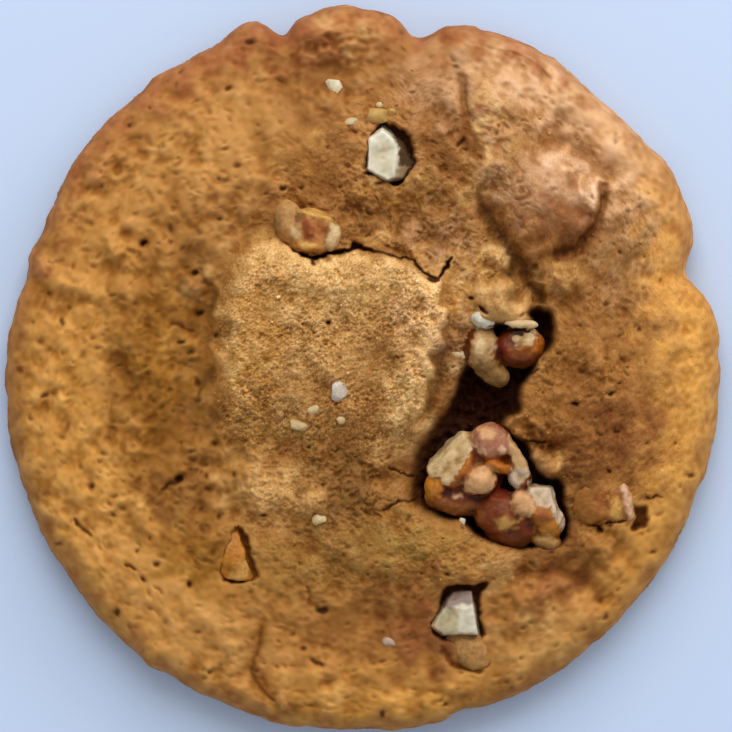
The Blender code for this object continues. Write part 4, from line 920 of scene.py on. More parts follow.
def new_group(name, inputs, outputs):
    """A shader node group with the sockets given as (name, type, default)."""
    group = bpy.data.node_groups.new(name, "ShaderNodeTree")
    for side, sockets in (("INPUT", inputs), ("OUTPUT", outputs)):
        for label, kind, default in sockets:
            socket = group.interface.new_socket(name=label, in_out=side, socket_type=kind)
            if default is not None:
                socket.default_value = default
    return group, node(group, "NodeGroupInput").outputs, node(group, "NodeGroupOutput").inputs


def use_group(tree, group, **values):
    made = node(tree, "ShaderNodeGroup", node_tree=group)
    for label, value in values.items():
        feed(tree, made.inputs[label], value)
    return made.outputs


GRAIN_SIZE = 0.32           # mm, of the grains of baked crumb
SOFT_SIZE = 0.9             # mm, of the unevenness between them
SOFT_SHARE = 0.3            # how high that stands on smooth crust, beside the grains on crumbly crust
GRAIN_SWING = 0.14          # how much the brightness of crumbly crust varies with its grains
GRAIN_DEPTH = 0.10          # mm


def make_grain_group():
    """Baked crumb, finer than the mesh: how bright its grains are, and its relief."""
    group, given, result = new_group(
        "baked_grain",
        (("Place", "NodeSocketVector", None), ("Crumbly", "NodeSocketFloat", 0.5)),
        (("Shade", "NodeSocketFloat", None), ("Height", "NodeSocketFloat", None)))
    place, crumbly = given["Place"], given["Crumbly"]
    grains = noise(group, place, GRAIN_SIZE, 2.0, 0.6)
    soft = noise(group, place, SOFT_SIZE, 2.0, 0.5)
    mixed = node(group, "ShaderNodeMix", data_type="FLOAT")
    feed(group, mixed.inputs["Factor"], crumbly)
    feed(group, mixed.inputs[2], calc(group, "MULTIPLY", soft, SOFT_SHARE))
    feed(group, mixed.inputs[3], grains)
    feed(group, result["Height"], mixed.outputs[0])
    swing = calc(group, "MULTIPLY", crumbly, GRAIN_SWING)
    darkest, brightest = calc(group, "SUBTRACT", 1.0, swing), calc(group, "ADD", 1.0, swing)
    feed(group, result["Shade"], span(group, grains, 0.3, 0.7, darkest, brightest))
    return group


# ---- colours, as light reflected, red green blue
GOLDEN = (0.376, 0.155, 0.034)
CRUST_TINTS = {
    "gold": (0.560, 0.262, 0.054),
    "rim": (0.660, 0.318, 0.088),
    "honey": (0.670, 0.310, 0.062),
    "sand": (0.442, 0.257, 0.086),
    "pale": (0.714, 0.411, 0.141),
    # A pale pink laid on as painted sheen and highlight, over crust that is paler there.
    "blush": (0.808, 0.468, 0.246),
    "amber": (0.262, 0.097, 0.005),
    "olive": (0.310, 0.173, 0.036),
    "grey": (0.282, 0.145, 0.055),
    "mauve": (0.376, 0.182, 0.089),
    "ruddy": (0.357, 0.112, 0.036),
    "brown": (0.188, 0.064, 0.013),
    # The two darkest browns below, umber and deep, are laid on mostly as painted shade.
    "umber": (0.100, 0.032, 0.006),
    "deep": (0.136, 0.058, 0.012),
}
# Browns laid on as painted shade: in pits, in hollows, and in the torn opening over its moist crumb.
PIT_SHADE_BROWN = (0.070, 0.021, 0.0045)
HOLLOW_SHADE_BROWN = (0.060, 0.014, 0.003)
TORN_CRUMB_SHADE_BROWN = (0.034, 0.0065, 0.0012)
UNDERSIDE_BROWN = (0.26, 0.095, 0.022)


# How a finish takes light: its roughness, and how strongly it mirrors.
CRUST_FINISH = (0.7, 0.10)
NUT_FINISH = (0.45, 0.22)
CHOCOLATE_FINISH = (0.42, 0.5)
PLAIN_MIRRORING = 0.5
# Light that sinks in: its share, and how far it spreads in m, as red, green and blue.
NUT_GLOW = (0.08, (0.0008, 0.0004, 0.0002))
CHOCOLATE_GLOW = (0.15, (0.0008, 0.0006, 0.0004))
# Distance between spots and height of the relief, mm.
NUT_VEINS = 1.2
NUT_FLECKS = 0.35
NUT_RELIEF = 0.06
CHOCOLATE_CLOUDS = 1.6
CHOCOLATE_RELIEF = 0.03
BIT_CLOUDS = 0.7
BIT_RELIEF = 0.10


def new_material(name, roughness, mirroring=PLAIN_MIRRORING):
    material = bpy.data.materials.new(name)
    material.use_nodes = True
    shader = material.node_tree.nodes["Principled BSDF"]
    shader.inputs["Roughness"].default_value = roughness
    shader.inputs["Specular IOR Level"].default_value = mirroring
    return material, material.node_tree, shader


def let_light_in(shader, share, spreads):
    shader.inputs["Subsurface Weight"].default_value = share
    shader.inputs["Subsurface Radius"].default_value = spreads
    shader.inputs["Subsurface Scale"].default_value = 1.0


def relief(tree, shader, height, depth):
    """Bump the surface by a height of 0 to 1 that stands for `depth` mm."""
    bump = node(tree, "ShaderNodeBump")
    bump.inputs["Strength"].default_value = 1.0
    bump.inputs["Distance"].default_value = depth * MM
    feed(tree, bump.inputs["Height"], height)
    feed(tree, shader.inputs["Normal"], bump.outputs["Normal"])


def make_crust_material(grain):
    material, tree, shader = new_material("baked_crust_golden", *CRUST_FINISH)
    place = node(tree, "ShaderNodeTexCoord").outputs["Object"]
    baked = use_group(tree, grain, Place=place, Crumbly=mask_of(tree, "crumbly"))
    feed(tree, shader.inputs["Base Color"], shaded(tree, colour_of(tree, "browning"), baked["Shade"]))
    relief(tree, shader, baked["Height"], GRAIN_DEPTH)
    return material


def make_nut_material():
    material, tree, shader = new_material("walnut_flesh_and_skin", *NUT_FINISH)
    let_light_in(shader, *NUT_GLOW)
    place = node(tree, "ShaderNodeTexCoord").outputs["Object"]
    veins = noise(tree, place, NUT_VEINS, 3.0, 0.6, 0.8)
    flecks = noise(tree, place, NUT_FLECKS, 3.0, 0.6)
    by_veins, by_flecks = span(tree, veins, 0.3, 0.7, 0.88, 1.1), span(tree, flecks, 0.3, 0.7, 0.92, 1.06)
    shade = calc(tree, "MULTIPLY", by_veins, by_flecks)
    feed(tree, shader.inputs["Base Color"], shaded(tree, colour_of(tree, "colour"), shade))
    relief(tree, shader, calc(tree, "ADD", veins, calc(tree, "MULTIPLY", flecks, 0.4)), NUT_RELIEF)
    return material


def make_chocolate_material():
    material, tree, shader = new_material("white_chocolate_ivory", *CHOCOLATE_FINISH)
    let_light_in(shader, *CHOCOLATE_GLOW)
    place = node(tree, "ShaderNodeTexCoord").outputs["Object"]
    cloud = noise(tree, place, CHOCOLATE_CLOUDS, 3.0, 0.5)
    feed(tree, shader.inputs["Base Color"],
         shaded(tree, colour_of(tree, "colour"), span(tree, cloud, 0.3, 0.7, 0.95, 1.05)))
    relief(tree, shader, cloud, CHOCOLATE_RELIEF)
    return material


def make_bit_material(name, colour, darker, roughness):
    material, tree, shader = new_material(name, roughness)
    place = node(tree, "ShaderNodeTexCoord").outputs["Object"]
    cloud = noise(tree, place, BIT_CLOUDS, 3.0, 0.6)
    feed(tree, shader.inputs["Base Color"], blend(tree, span(tree, cloud, 0.35, 0.65), colour, darker))
    relief(tree, shader, cloud, BIT_RELIEF)
    return material


# ---- the pieces

# Bumps of the side wall: distance between them mm, height mm, seed.
WALL_BUMPS = ((6.0, 0.11, 26), (2.6, 0.05, 27), (1.2, 0.02, 28), (0.6, 0.012, 29))
WALL_MOTTLING = ((3.0, 0.08, 30), (1.2, 0.08, 31))      # the same with the share of its brightness
WALL_COLOUR_BLUR = 1.2      # mm, how evenly the wall is browned
WALL_STARTS = (0.55, 0.95)      # steepness where the wall's colour starts, and where it is the only one
FOOT_FADE = 1.2             # mm over which the underside takes its own colour
QUARTERS = {"north_east": (1, 1), "north_west": (-1, 1), "south_west": (-1, -1), "south_east": (1, -1)}


def model_ball():
    """A finely divided cube, and the place of each of its points once it is blown up to a ball."""
    deselect()
    bpy.ops.mesh.primitive_cube_add(size=2.0)
    dough = bpy.context.object
    bpy.ops.object.mode_set(mode="EDIT")
    for cuts in DOUGH_CUTS:
        bpy.ops.mesh.subdivide(number_cuts=cuts)
    bpy.ops.object.mode_set(mode="OBJECT")
    ball = np.tan(read_points(dough) * math.pi / 4.0)        # evens out the squares near the corners
    return dough, ball / np.linalg.norm(ball, axis=1, keepdims=True)


def make_dough(crust, browning, material):
    """A ball rolled into a round, its upper skin laid over the height map.

    It is made in quarters that meet without a step, as one mesh would be too heavy.
    """
    dough, ball = model_ball()
    bearing = np.arctan2(ball[:, 1], ball[:, 0])
    way = np.sqrt((1.0 - ball[:, 2]) / 2.0)                  # 0 at the top pole, 1 at the bottom one
    upper = way <= TOP_SHARE
    share = np.where(upper, way / TOP_SHARE, np.sqrt((1.0 - way ** 2) / (1.0 - TOP_SHARE ** 2)))
    share = np.where(upper, share ** SPREADING, share)
    radius = edge_radius(bearing) + edge_wobble(bearing)
    out_x, out_y = np.cos(bearing), np.sin(bearing)
    x, y = radius * share * out_x, radius * share * out_y
    inward = radius * (1.0 - share)
    over = np.clip(inward / EDGE_ROUNDING, 0.0, 1.0)
    under = np.clip(inward / FOOT_INSET, 0.0, 1.0)
    steep = np.where(upper, 1.0 - over, 1.0 - under)         # 1 at the waist, 0 on the flat
    level = np.sqrt(1.0 - steep ** 2)
    top = WAIST_HEIGHT + (crust.read(crust.height, x, y) - WAIST_HEIGHT) * level
    bottom = WAIST_HEIGHT * (1.0 - level)
    standing = crust.read(crust.relief, x, y)
    z = np.where(upper, top + standing * level, bottom)
    wall = np.column_stack([radius * out_x, radius * out_y, z])
    push = steep ** 2 * sum(height * waves(wall, size, seed) for size, height, seed in WALL_BUMPS)
    write_points(dough, np.column_stack([x + push * out_x, y + push * out_y, z]))
    colour = brown_wall(crust, browning, x, y, wall, steep)
    foot = np.where(upper, 0.0, ease(0.0, FOOT_FADE, inward))
    write_colour(dough, "browning", laid_over(colour, UNDERSIDE_BROWN, foot))
    write_mask(dough, "crumbly", crust.read(crust.crumbly, x, y))
    for quarter, (east, north) in QUARTERS.items():
        in_metres(cut_quarter(dough, east, north), "baked_dough_" + quarter, material, "dough")
    bpy.data.objects.remove(dough)


def brown_wall(crust, browning, x, y, wall, steep):
    """The colour of the crust at points, run together and mottled anew where it is the side wall."""
    even = np.stack([crust.soften(browning[..., i], WALL_COLOUR_BLUR) for i in range(3)], axis=-1)
    mottled = 1.0 + sum(share * waves(wall, size, seed) for size, share, seed in WALL_MOTTLING)
    on_wall = ease(*WALL_STARTS, steep)[:, None]
    flat_colour, wall_colour = crust.read(browning, x, y), tone(crust.read(even, x, y), mottled)
    return flat_colour * (1.0 - on_wall) + wall_colour * on_wall


def cut_quarter(dough, east, north):
    """A copy of the dough's quarter on the east or west side, and the north or south one."""
    choose(dough)
    bpy.ops.object.duplicate()
    piece = bpy.context.object
    bpy.ops.object.mode_set(mode="EDIT")
    for way in ((-east, 0.0, 0.0), (0.0, -north, 0.0)):
        bpy.ops.mesh.select_all(action="SELECT")
        bpy.ops.mesh.bisect(plane_co=(0.0, 0.0, 0.0), plane_no=way, use_fill=True, clear_outer=True)
        bpy.ops.mesh.mark_sharp()
    bpy.ops.object.mode_set(mode="OBJECT")
    return piece


def cut_flat(thing, cuts):
    """Slice the thing along each cut and close the face."""
    choose(thing)
    bpy.ops.object.mode_set(mode="EDIT")
    for point, way in cuts:
        bpy.ops.mesh.select_all(action="SELECT")
        bpy.ops.mesh.bisect(plane_co=point, plane_no=way, use_fill=True, clear_outer=True)
    bpy.ops.object.mode_set(mode="OBJECT")


def even_out(thing, voxel, rounds):
    """Run a piece's parts together in even faces, and wear its sharp edges."""
    remesh = thing.modifiers.new("run together", "REMESH")
    remesh.mode = "VOXEL"
    remesh.voxel_size = voxel
    apply_modifier(thing, remesh)
    smooth = thing.modifiers.new("worn edges", "SMOOTH")
    smooth.factor = 0.5
    smooth.iterations = rounds
    apply_modifier(thing, smooth)


def model_lobe(x, y, z, across, along, high, turn, *cuts):
    """An egg, sliced flat along each cut."""
    deselect()
    bpy.ops.mesh.primitive_ico_sphere_add(
        subdivisions=4, location=(x, y, z), rotation=(0.0, 0.0, math.radians(turn)),
        scale=(across, along, high))
    lobe = bpy.context.object
    bpy.ops.object.transform_apply(location=True, rotation=True, scale=True)
    if cuts:
        cut_flat(lobe, cuts)
    return lobe


def roughen_piece(thing, layers):
    """Push a piece's skin in and out by fields of (distance between bumps mm, height mm, seed)."""
    points = read_points(thing)
    normals = read_normals(thing)
    push = sum(height * waves(points, size, seed) for size, height, seed in layers)
    write_points(thing, points + normals * push[:, None])


def egg(cx, cy, across, along, turn=0):
    """The outline of an ellipse, as points."""
    bearings = np.radians(np.arange(0.0, 360.0, 24.0))
    c, s = math.cos(math.radians(turn)), math.sin(math.radians(turn))
    dx, dy = across * np.cos(bearings), along * np.sin(bearings)
    return tuple(zip((cx + dx * c - dy * s).tolist(), (cy + dx * s + dy * c).tolist()))


def hollows(thing, rounds):
    """How far each point lies below the piece's own skin once that is smoothed, in mm."""
    points = read_points(thing)
    ends = np.empty(len(thing.data.edges) * 2, np.int64)
    thing.data.edges.foreach_get("vertices", ends)
    one = np.concatenate([ends[0::2], ends[1::2]])
    other = np.concatenate([ends[1::2], ends[0::2]])
    beside = np.bincount(one, minlength=len(points)).clip(1)
    smooth = points
    for _ in range(rounds):
        sums = [np.bincount(one, smooth[other, i], len(points)) for i in range(3)]
        smooth = np.column_stack(sums) / beside[:, None]
    return ((smooth - points) * read_normals(thing)).sum(axis=1)


# Painted shade in hollows and painted highlight on crests: rounds of smoothing, mm that count in full, and
# the shares.
PIECE_SHADE_AND_HIGHLIGHT = ((8, 0.03, 0.10, 0.04), (60, 0.20, 0.55, 0.10))
PIECE_TINTS = {             # of walnut and white chocolate
    "cream": (0.54, 0.361, 0.162), "ivory": (0.49, 0.345, 0.208), "buff": (0.43, 0.236, 0.088),
    "fawn": (0.395, 0.190, 0.052), "tan": (0.54, 0.272, 0.105), "gold": (0.52, 0.26, 0.055),
    "amber": (0.42, 0.150, 0.014), "orange": (0.345, 0.092, 0.005), "rose": (0.56, 0.31, 0.16),
    "rind": (0.235, 0.071, 0.013), "skin": (0.156, 0.030, 0.0042), "plum": (0.142, 0.023, 0.004),
    "umber": (0.115, 0.0235, 0.0025), "moss": (0.24, 0.120, 0.030), "dark": (0.035, 0.007, 0.002),
    "brick": (0.26, 0.062, 0.014), "clay": (0.42, 0.145, 0.038), "white": (0.58, 0.51, 0.36),
    "pearl": (0.68, 0.60, 0.42), "smoke": (0.085, 0.044, 0.017), "ash": (0.30, 0.195, 0.105),
    "shell": (0.44, 0.36, 0.195), "toffee": (0.29, 0.092, 0.014), "mauve": (0.31, 0.115, 0.055),
    "caramel": (0.187, 0.047, 0.0025), "garnet": (0.135, 0.0135, 0.0012),
    "dusk": (0.20, 0.125, 0.085), "bark": (0.28, 0.100, 0.014),
}
PIECE_WANDER = (0.9, 0.12, 61)      # how painted outlines stray: size mm, reach mm, seed


def paint_piece(thing, ground, patches):
    """Colour a piece with outlines as seen from above: tint, how soft the edge is in mm, outline; then paint
    shade into its hollows and highlight onto its crests.
    """
    points = read_points(thing)
    size, reach, seed = PIECE_WANDER
    x = points[:, 0] + reach * waves(points, size, seed)
    y = points[:, 1] + reach * waves(points, size, seed + 1)
    colour = np.empty((len(points), 3))
    colour[:] = PIECE_TINTS[ground]
    for tint, soft, outline in patches:
        gap, _ = gap_to_path(x, y, outline + outline[:1])
        share = ease(-soft, soft, np.where(inside(x, y, outline) > 0.5, gap, -gap))
        colour = laid_over(colour, PIECE_TINTS[tint], share)
    # Painted shade in the hollows and painted highlight on the crests.
    for rounds, full, darker, lighter in PIECE_SHADE_AND_HIGHLIGHT:
        deep = np.clip(hollows(thing, rounds) / full, -1.0, 1.0)
        colour = tone(colour, 1.0 - np.where(deep > 0.0, darker, lighter) * deep)
    write_colour(thing, "colour", colour)


NUT_BUMPS = ((2.2, 0.06, 41), (1.1, 0.025, 42), (0.55, 0.012, 43))      # laid out like WALL_BUMPS
NUT_WEAR = 18               # rounds of smoothing

# A nut's lobes: x, y, z, half lengths across, along and upwards, turn in degrees, then the cuts that
# flatten it, each as a point of the flat face and the way that the face looks.
LARGE_WALNUT = (
    (12.4, -12.2, 8.0, 4.3, 4.4, 2.7, 0, ((9.5, -10.2, 8.0), (-0.70, 0.70, 0.1))),
    (14.9, -9.4, 8.9, 2.7, 2.6, 2.9, -20), (14.0, -9.9, 10.4, 1.1, 0.6, 1.5, -35),
    (16.3, -10.2, 10.2, 0.7, 0.7, 1.3, 0),
    (10.6, -11.3, 8.0, 3.5, 3.8, 3.9, 0, ((9.9, -11.2, 9.9), (-0.48, 0.32, 0.82)),
     ((9.3, -10.0, 8.0), (-0.70, 0.70, 0.1))),
    (13.6, -13.6, 10.0, 2.1, 1.9, 2.2, 0), (8.6, -14.6, 7.9, 1.6, 1.9, 2.3, 10),
    (10.9, -16.0, 7.3, 4.0, 2.0, 2.6, -8),
    (18.0, -11.2, 9.0, 1.0, 3.2, 2.5, 30, ((18.0, -11.2, 11.0), (0.3, 0.1, 1.0))),
    (18.3, -13.4, 8.9, 1.5, 1.4, 2.2, -20, ((18.3, -13.4, 10.7), (0.2, 0.0, 1.0))),
    (15.8, -12.0, 9.5, 2.0, 0.9, 2.2, -10), (18.2, -18.2, 7.6, 3.9, 3.0, 2.7, 0),
    (16.0, -17.6, 8.0, 3.1, 2.9, 3.2, 0), (18.8, -16.5, 9.2, 1.8, 1.8, 2.2, 0),
    (15.5, -16.0, 9.6, 1.3, 0.5, 1.3, 5),
    (20.9, -16.6, 8.4, 2.4, 2.9, 3.4, 10, ((21.2, -15.4, 10.4), (0.25, 0.30, 0.92)),
     ((21.0, -14.4, 9.0), (0.05, 1.0, 0.1)), ((22.7, -16.2, 9.0), (0.97, 0.24, 0.1))),
    (21.8, -18.6, 7.8, 2.0, 2.3, 2.6, 30), (17.3, -19.9, 7.2, 3.1, 2.0, 2.6, -10),
    (21.6, -20.9, 7.1, 1.9, 1.2, 2.3, -15),
)
LARGE_WALNUT_PAINT = (
    # the northern kernel: its cut face, skin, cleft and flange
    ("cream", 0.12,
     ((11.6, -6.3), (12.6, -7.4), (12.9, -9.2), (12.5, -10.6), (12.0, -11.4), (11.3, -12.4),
      (10.6, -13.6), (9.9, -14.3), (9.2, -14.2), (8.9, -13.2), (7.6, -13.2), (7.0, -11.5), (9.2, -8.6))),
    # painted shade along the upper edge of the cut face
    ("buff", 0.5, ((12.0, -6.4), (12.9, -7.4), (13.0, -9.4), (12.4, -9.6), (11.9, -8.4))),
    ("mauve", 0.3,
     ((12.7, -6.4), (14.5, -6.3), (16.3, -7.5), (17.1, -8.6), (17.0, -10.4), (16.6, -11.0), (14.6, -10.9),
      (13.0, -10.4), (12.7, -9.0))),
    # painted highlight on the top of the dome, over its tan skin
    ("tan", 0.35, ((13.1, -7.3), (14.4, -7.2), (15.7, -8.0), (15.2, -8.9), (13.8, -8.6))),
    ("mauve", 0.3,
     ((13.6, -9.1), (15.2, -9.9), (16.0, -9.9), (15.8, -10.3), (14.4, -10.2), (13.5, -9.6))),
    ("rose", 0.15, ((12.9, -9.2), (13.5, -9.6), (14.6, -10.4), (14.4, -10.8), (13.3, -10.3))),
    # painted glint
    ("rose", 0.15, egg(16.35, -10.3, 0.45, 0.6, 20)),
    ("orange", 0.4,
     ((12.3, -10.6), (13.3, -10.7), (14.6, -11.2), (15.6, -11.1), (17.0, -10.8), (17.4, -11.9),
      (17.0, -12.9), (16.4, -13.3), (15.7, -12.6), (14.4, -11.9), (13.2, -11.5), (12.7, -12.4),
      (12.3, -13.2), (11.4, -13.2), (11.2, -13.9), (10.6, -14.8), (10.0, -14.3), (10.7, -13.4),
      (11.6, -12.0))),
    ("tan", 0.3,
     ((12.6, -11.9), (13.4, -11.6), (14.6, -11.9), (15.7, -12.6), (15.6, -13.8), (15.2, -14.6),
      (14.8, -15.3), (13.8, -15.5), (12.3, -15.3), (11.5, -14.7), (11.4, -13.9), (12.3, -13.2))),
    # painted shade in the cleft
    ("garnet", 0.35,
     ((15.7, -13.2), (16.9, -13.2), (17.1, -14.4), (17.4, -15.1), (17.0, -15.6), (15.6, -15.5),
      (14.9, -15.3), (15.4, -14.4))),
    ("buff", 0.15,
     ((16.9, -8.2), (17.6, -8.6), (18.8, -10.2), (19.5, -11.6), (20.2, -12.6), (18.9, -13.5),
      (18.1, -14.8), (17.3, -14.8), (16.9, -13.4), (17.4, -12.3), (17.2, -11.0), (17.0, -9.6))),
    ("ivory", 0.3,
     ((17.5, -12.1), (19.8, -12.3), (18.9, -13.6), (18.1, -14.9), (17.3, -14.8), (16.9, -13.4))),
    ("amber", 0.25,
     ((6.4, -13.0), (7.9, -13.3), (8.8, -13.6), (9.4, -14.4), (9.2, -15.4), (8.4, -16.0), (6.6, -16.2))),
    ("orange", 0.3, ((7.5, -14.0), (8.5, -14.3), (9.0, -14.9), (8.4, -14.8), (7.6, -14.5))),
    # painted glint on the amber bulge
    ("cream", 0.1, egg(9.1, -13.9, 0.2, 0.35, 20)),
    ("plum", 0.4,
     ((9.2, -15.2), (10.4, -14.8), (11.4, -15.1), (12.6, -15.6), (13.8, -15.8), (14.9, -15.6),
      (15.4, -16.2), (13.4, -16.4), (11.6, -16.4), (10.6, -16.2), (9.3, -16.0))),
    # painted highlight
    ("rose", 0.2, egg(10.9, -15.6, 0.6, 0.3, -15)),
    ("rind", 0.4,
     ((7.2, -16.1), (9.2, -15.9), (11.0, -16.4), (13.6, -16.4), (13.6, -17.6), (12.4, -18.2),
      (9.8, -18.1), (7.4, -17.4))),
    # the southern kernel: tan knob, white cut, amber side and brown skin
    ("tan", 0.3,
     ((17.5, -15.2), (18.6, -14.8), (19.4, -15.0), (20.0, -15.9), (20.3, -16.8), (20.2, -17.6),
      (19.6, -18.0), (18.6, -18.2), (17.6, -17.4), (17.4, -16.4))),
    ("ivory", 0.15,
     ((19.4, -14.9), (19.4, -13.6), (22.9, -13.6), (22.9, -16.0), (22.6, -16.8), (21.4, -17.0),
      (20.4, -16.9), (20.0, -15.8))),
    ("ivory", 0.15,
     ((22.3, -16.0), (23.2, -16.0), (23.8, -18.0), (24.4, -19.9), (23.7, -20.2), (23.0, -19.2),
      (22.5, -18.1), (22.1, -17.2))),
    ("amber", 0.4,
     ((20.4, -16.9), (21.4, -16.9), (22.1, -17.4), (22.6, -18.5), (23.2, -19.4), (23.6, -20.5),
      (21.8, -20.0), (20.4, -20.1), (19.9, -19.2), (20.2, -18.0))),
    ("brick", 0.45, ((20.5, -17.3), (21.6, -17.2), (22.0, -18.3), (21.0, -18.6), (20.3, -18.4))),
    ("plum", 0.45, egg(15.8, -15.9, 1.0, 0.4, 0)), ("rind", 0.45, egg(13.4, -17.8, 0.9, 0.5, -30)),
    ("gold", 0.5,
     ((15.6, -18.4), (16.6, -18.1), (18.2, -18.5), (17.9, -19.4), (16.7, -19.9), (15.8, -19.2))),
    ("umber", 0.4, ((16.2, -20.0), (18.0, -19.6), (19.8, -20.4), (19.6, -22.4), (16.4, -22.2))),
    ("plum", 0.45, egg(19.1, -19.5, 0.7, 1.1, 10)),
    ("fawn", 0.25,
     ((19.9, -20.5), (20.6, -20.0), (21.8, -20.1), (22.8, -20.5), (23.8, -21.2), (23.2, -22.6),
      (20.2, -22.6))),
)
RIGHT_WALNUT = (
    (13.8, 2.2, 8.4, 2.2, 2.8, 2.8, 0), (14.5, 0.6, 8.0, 1.9, 1.9, 2.6, -20),
    (15.2, -0.7, 7.8, 2.3, 1.5, 2.3, -35),
    (18.4, 2.3, 8.0, 3.0, 2.6, 3.4, 5, ((18.8, 3.2, 10.4), (0.05, 0.10, 1.0))),
    (13.9, 5.5, 10.3, 1.6, 0.95, 1.3, -22), (18.5, 5.0, 10.5, 2.1, 0.5, 0.6, -4),
)
RIGHT_WALNUT_PAINT = (
    ("buff", 0.3,
     ((12.2, 0.3), (12.6, 2.0), (12.8, 3.6), (13.6, 4.5), (15.2, 4.2), (16.0, 3.4), (15.7, 2.4),
      (15.4, 1.3), (14.4, 0.4))),
    # painted highlights
    ("cream", 0.3, egg(13.6, 2.5, 0.6, 1.0, 0)), ("rose", 0.25, egg(15.2, 2.1, 0.35, 0.9, -10)),
    ("moss", 0.35,
     ((12.4, 0.5), (14.2, 0.3), (15.6, 0.8), (16.5, 0.4), (17.4, -1.0), (17.2, -2.8), (14.0, -2.6),
      (12.2, -0.6))),
    ("garnet", 0.3,
     ((15.7, 3.2), (16.4, 3.5), (17.0, 2.9), (17.3, 2.2), (17.2, 1.2), (17.6, 0.6), (17.2, 0.0),
      (16.4, 0.8), (15.9, 1.3), (15.6, 2.2))),
    ("cream", 0.12,
     ((17.4, 3.3), (17.8, 3.7), (19.2, 3.9), (20.5, 4.5), (20.5, 3.6), (20.1, 2.6), (19.0, 2.35),
      (18.0, 2.6))),
    ("caramel", 0.6, ((17.2, 2.5), (18.0, 2.6), (19.4, 2.5), (20.6, 2.6), (20.0, 0.8), (17.4, 1.0))),
    ("orange", 0.35,
     ((20.4, 4.9), (21.4, 4.9), (22.0, 3.3), (21.2, 1.6), (19.6, 1.4), (20.1, 2.5), (20.5, 3.6))),
    ("amber", 0.3, egg(18.6, 2.15, 0.6, 0.15, 0)), ("amber", 0.25, egg(20.85, 3.4, 0.2, 0.7, 5)),
    ("umber", 0.35, ((17.3, 1.2), (20.0, 1.3), (19.6, -0.4), (17.4, -0.8))),
    # painted shade under the lip of the clod above
    ("dark", 0.12,
     ((14.8, 4.5), (15.5, 5.0), (16.6, 4.95), (17.3, 4.5), (18.4, 4.6), (19.4, 4.25), (20.2, 4.3),
      (18.6, 3.9), (17.5, 3.7), (16.2, 3.95))),
    ("white", 0.15, ((12.3, 6.0), (12.8, 4.7), (14.6, 4.4), (15.6, 5.2), (15.2, 6.4), (13.4, 6.8))),
    ("cream", 0.1,
     ((16.6, 4.95), (17.3, 4.5), (18.4, 4.65), (19.4, 4.3), (20.6, 4.6), (20.8, 5.8), (17.0, 6.0))),
)
NORTH_WALNUT = (
    (-9.3, 17.2, 9.0, 1.7, 2.8, 1.9, 6),
    (-6.5, 16.1, 8.6, 3.4, 2.8, 2.6, -8, ((-6.3, 16.3, 10.5), (0.08, -0.1, 1.0))),
    (-6.1, 17.95, 9.4, 2.2, 0.55, 1.5, -14), (-3.95, 15.3, 9.4, 0.9, 1.7, 1.7, -14),
    (-7.0, 14.3, 9.1, 2.4, 0.8, 1.5, -5),
)
NORTH_WALNUT_PAINT = (
    ("fawn", 0.2,
     ((-10.0, 20.4), (-8.2, 20.2), (-8.0, 18.7), (-7.8, 17.8), (-7.9, 16.6), (-7.5, 15.6), (-7.8, 14.9),
      (-9.0, 15.0), (-11.2, 15.0), (-11.4, 17.0))),
    # a painted highlight on the left lobe and painted shade on its west side
    ("cream", 0.3, egg(-8.5, 16.0, 0.6, 0.7, 0)), ("moss", 0.5, egg(-11.0, 16.9, 0.6, 1.6, 0)),
    ("brick", 0.3, ((-7.8, 17.9), (-6.9, 17.8), (-6.2, 16.6), (-6.3, 15.4), (-7.6, 15.1), (-7.6, 16.2))),
    ("clay", 0.5,
     ((-6.9, 17.7), (-5.6, 17.5), (-4.7, 17.1), (-4.5, 16.3), (-5.0, 15.0), (-6.3, 15.0), (-6.5, 16.6))),
    ("gold", 0.25,
     ((-8.2, 19.2), (-7.0, 18.9), (-5.6, 18.7), (-4.2, 18.0), (-3.9, 17.1), (-4.6, 17.1), (-5.7, 17.5),
      (-7.3, 18.0))),
    ("cream", 0.2,
     ((-4.4, 16.9), (-3.4, 17.0), (-2.6, 16.2), (-2.6, 13.6), (-4.2, 13.6), (-4.9, 13.6), (-5.0, 14.6),
      (-4.6, 15.6))),
    ("gold", 0.4,
     ((-9.4, 14.7), (-8.4, 14.8), (-7.6, 15.1), (-6.0, 14.9), (-5.0, 14.8), (-5.0, 13.2), (-9.0, 13.2))),
    ("clay", 0.4, egg(-8.3, 14.3, 0.6, 0.3, 0)),
)
SOUTHWEST_WALNUT = (
    (-15.6, -23.2, 6.2, 2.7, 4.5, 2.9, 10, ((-14.2, -23.0, 7.0), (0.95, 0.30, 0.1)),
     ((-15.3, -25.8, 7.0), (-0.1, -1.0, 0.1)), ((-17.3, -23.0, 7.0), (-0.96, 0.26, 0.15)),
     ((-15.6, -23.4, 9.05), (-0.06, 0.05, 1.0))),
)
SOUTHWEST_WALNUT_PAINT = (
    ("gold", 0.4,
     ((-17.0, -25.4), (-15.6, -24.4), (-14.4, -22.9), (-14.0, -23.8), (-14.2, -25.4), (-15.4, -25.9))),
    # painted highlight
    ("tan", 0.45, egg(-17.1, -21.5, 0.45, 0.8, -25)),
)
EAST_WALNUT = (
    (28.4, -16.1, 7.9, 4.0, 3.9, 2.4, 0, ((28.6, -16.3, 10.0), (-0.03, 0.10, 1.0)),
     ((28.8, -18.6, 9.0), (0.1, -1.0, 0.2))),
    (31.0, -15.9, 8.2, 1.1, 2.8, 1.9, 13),
)
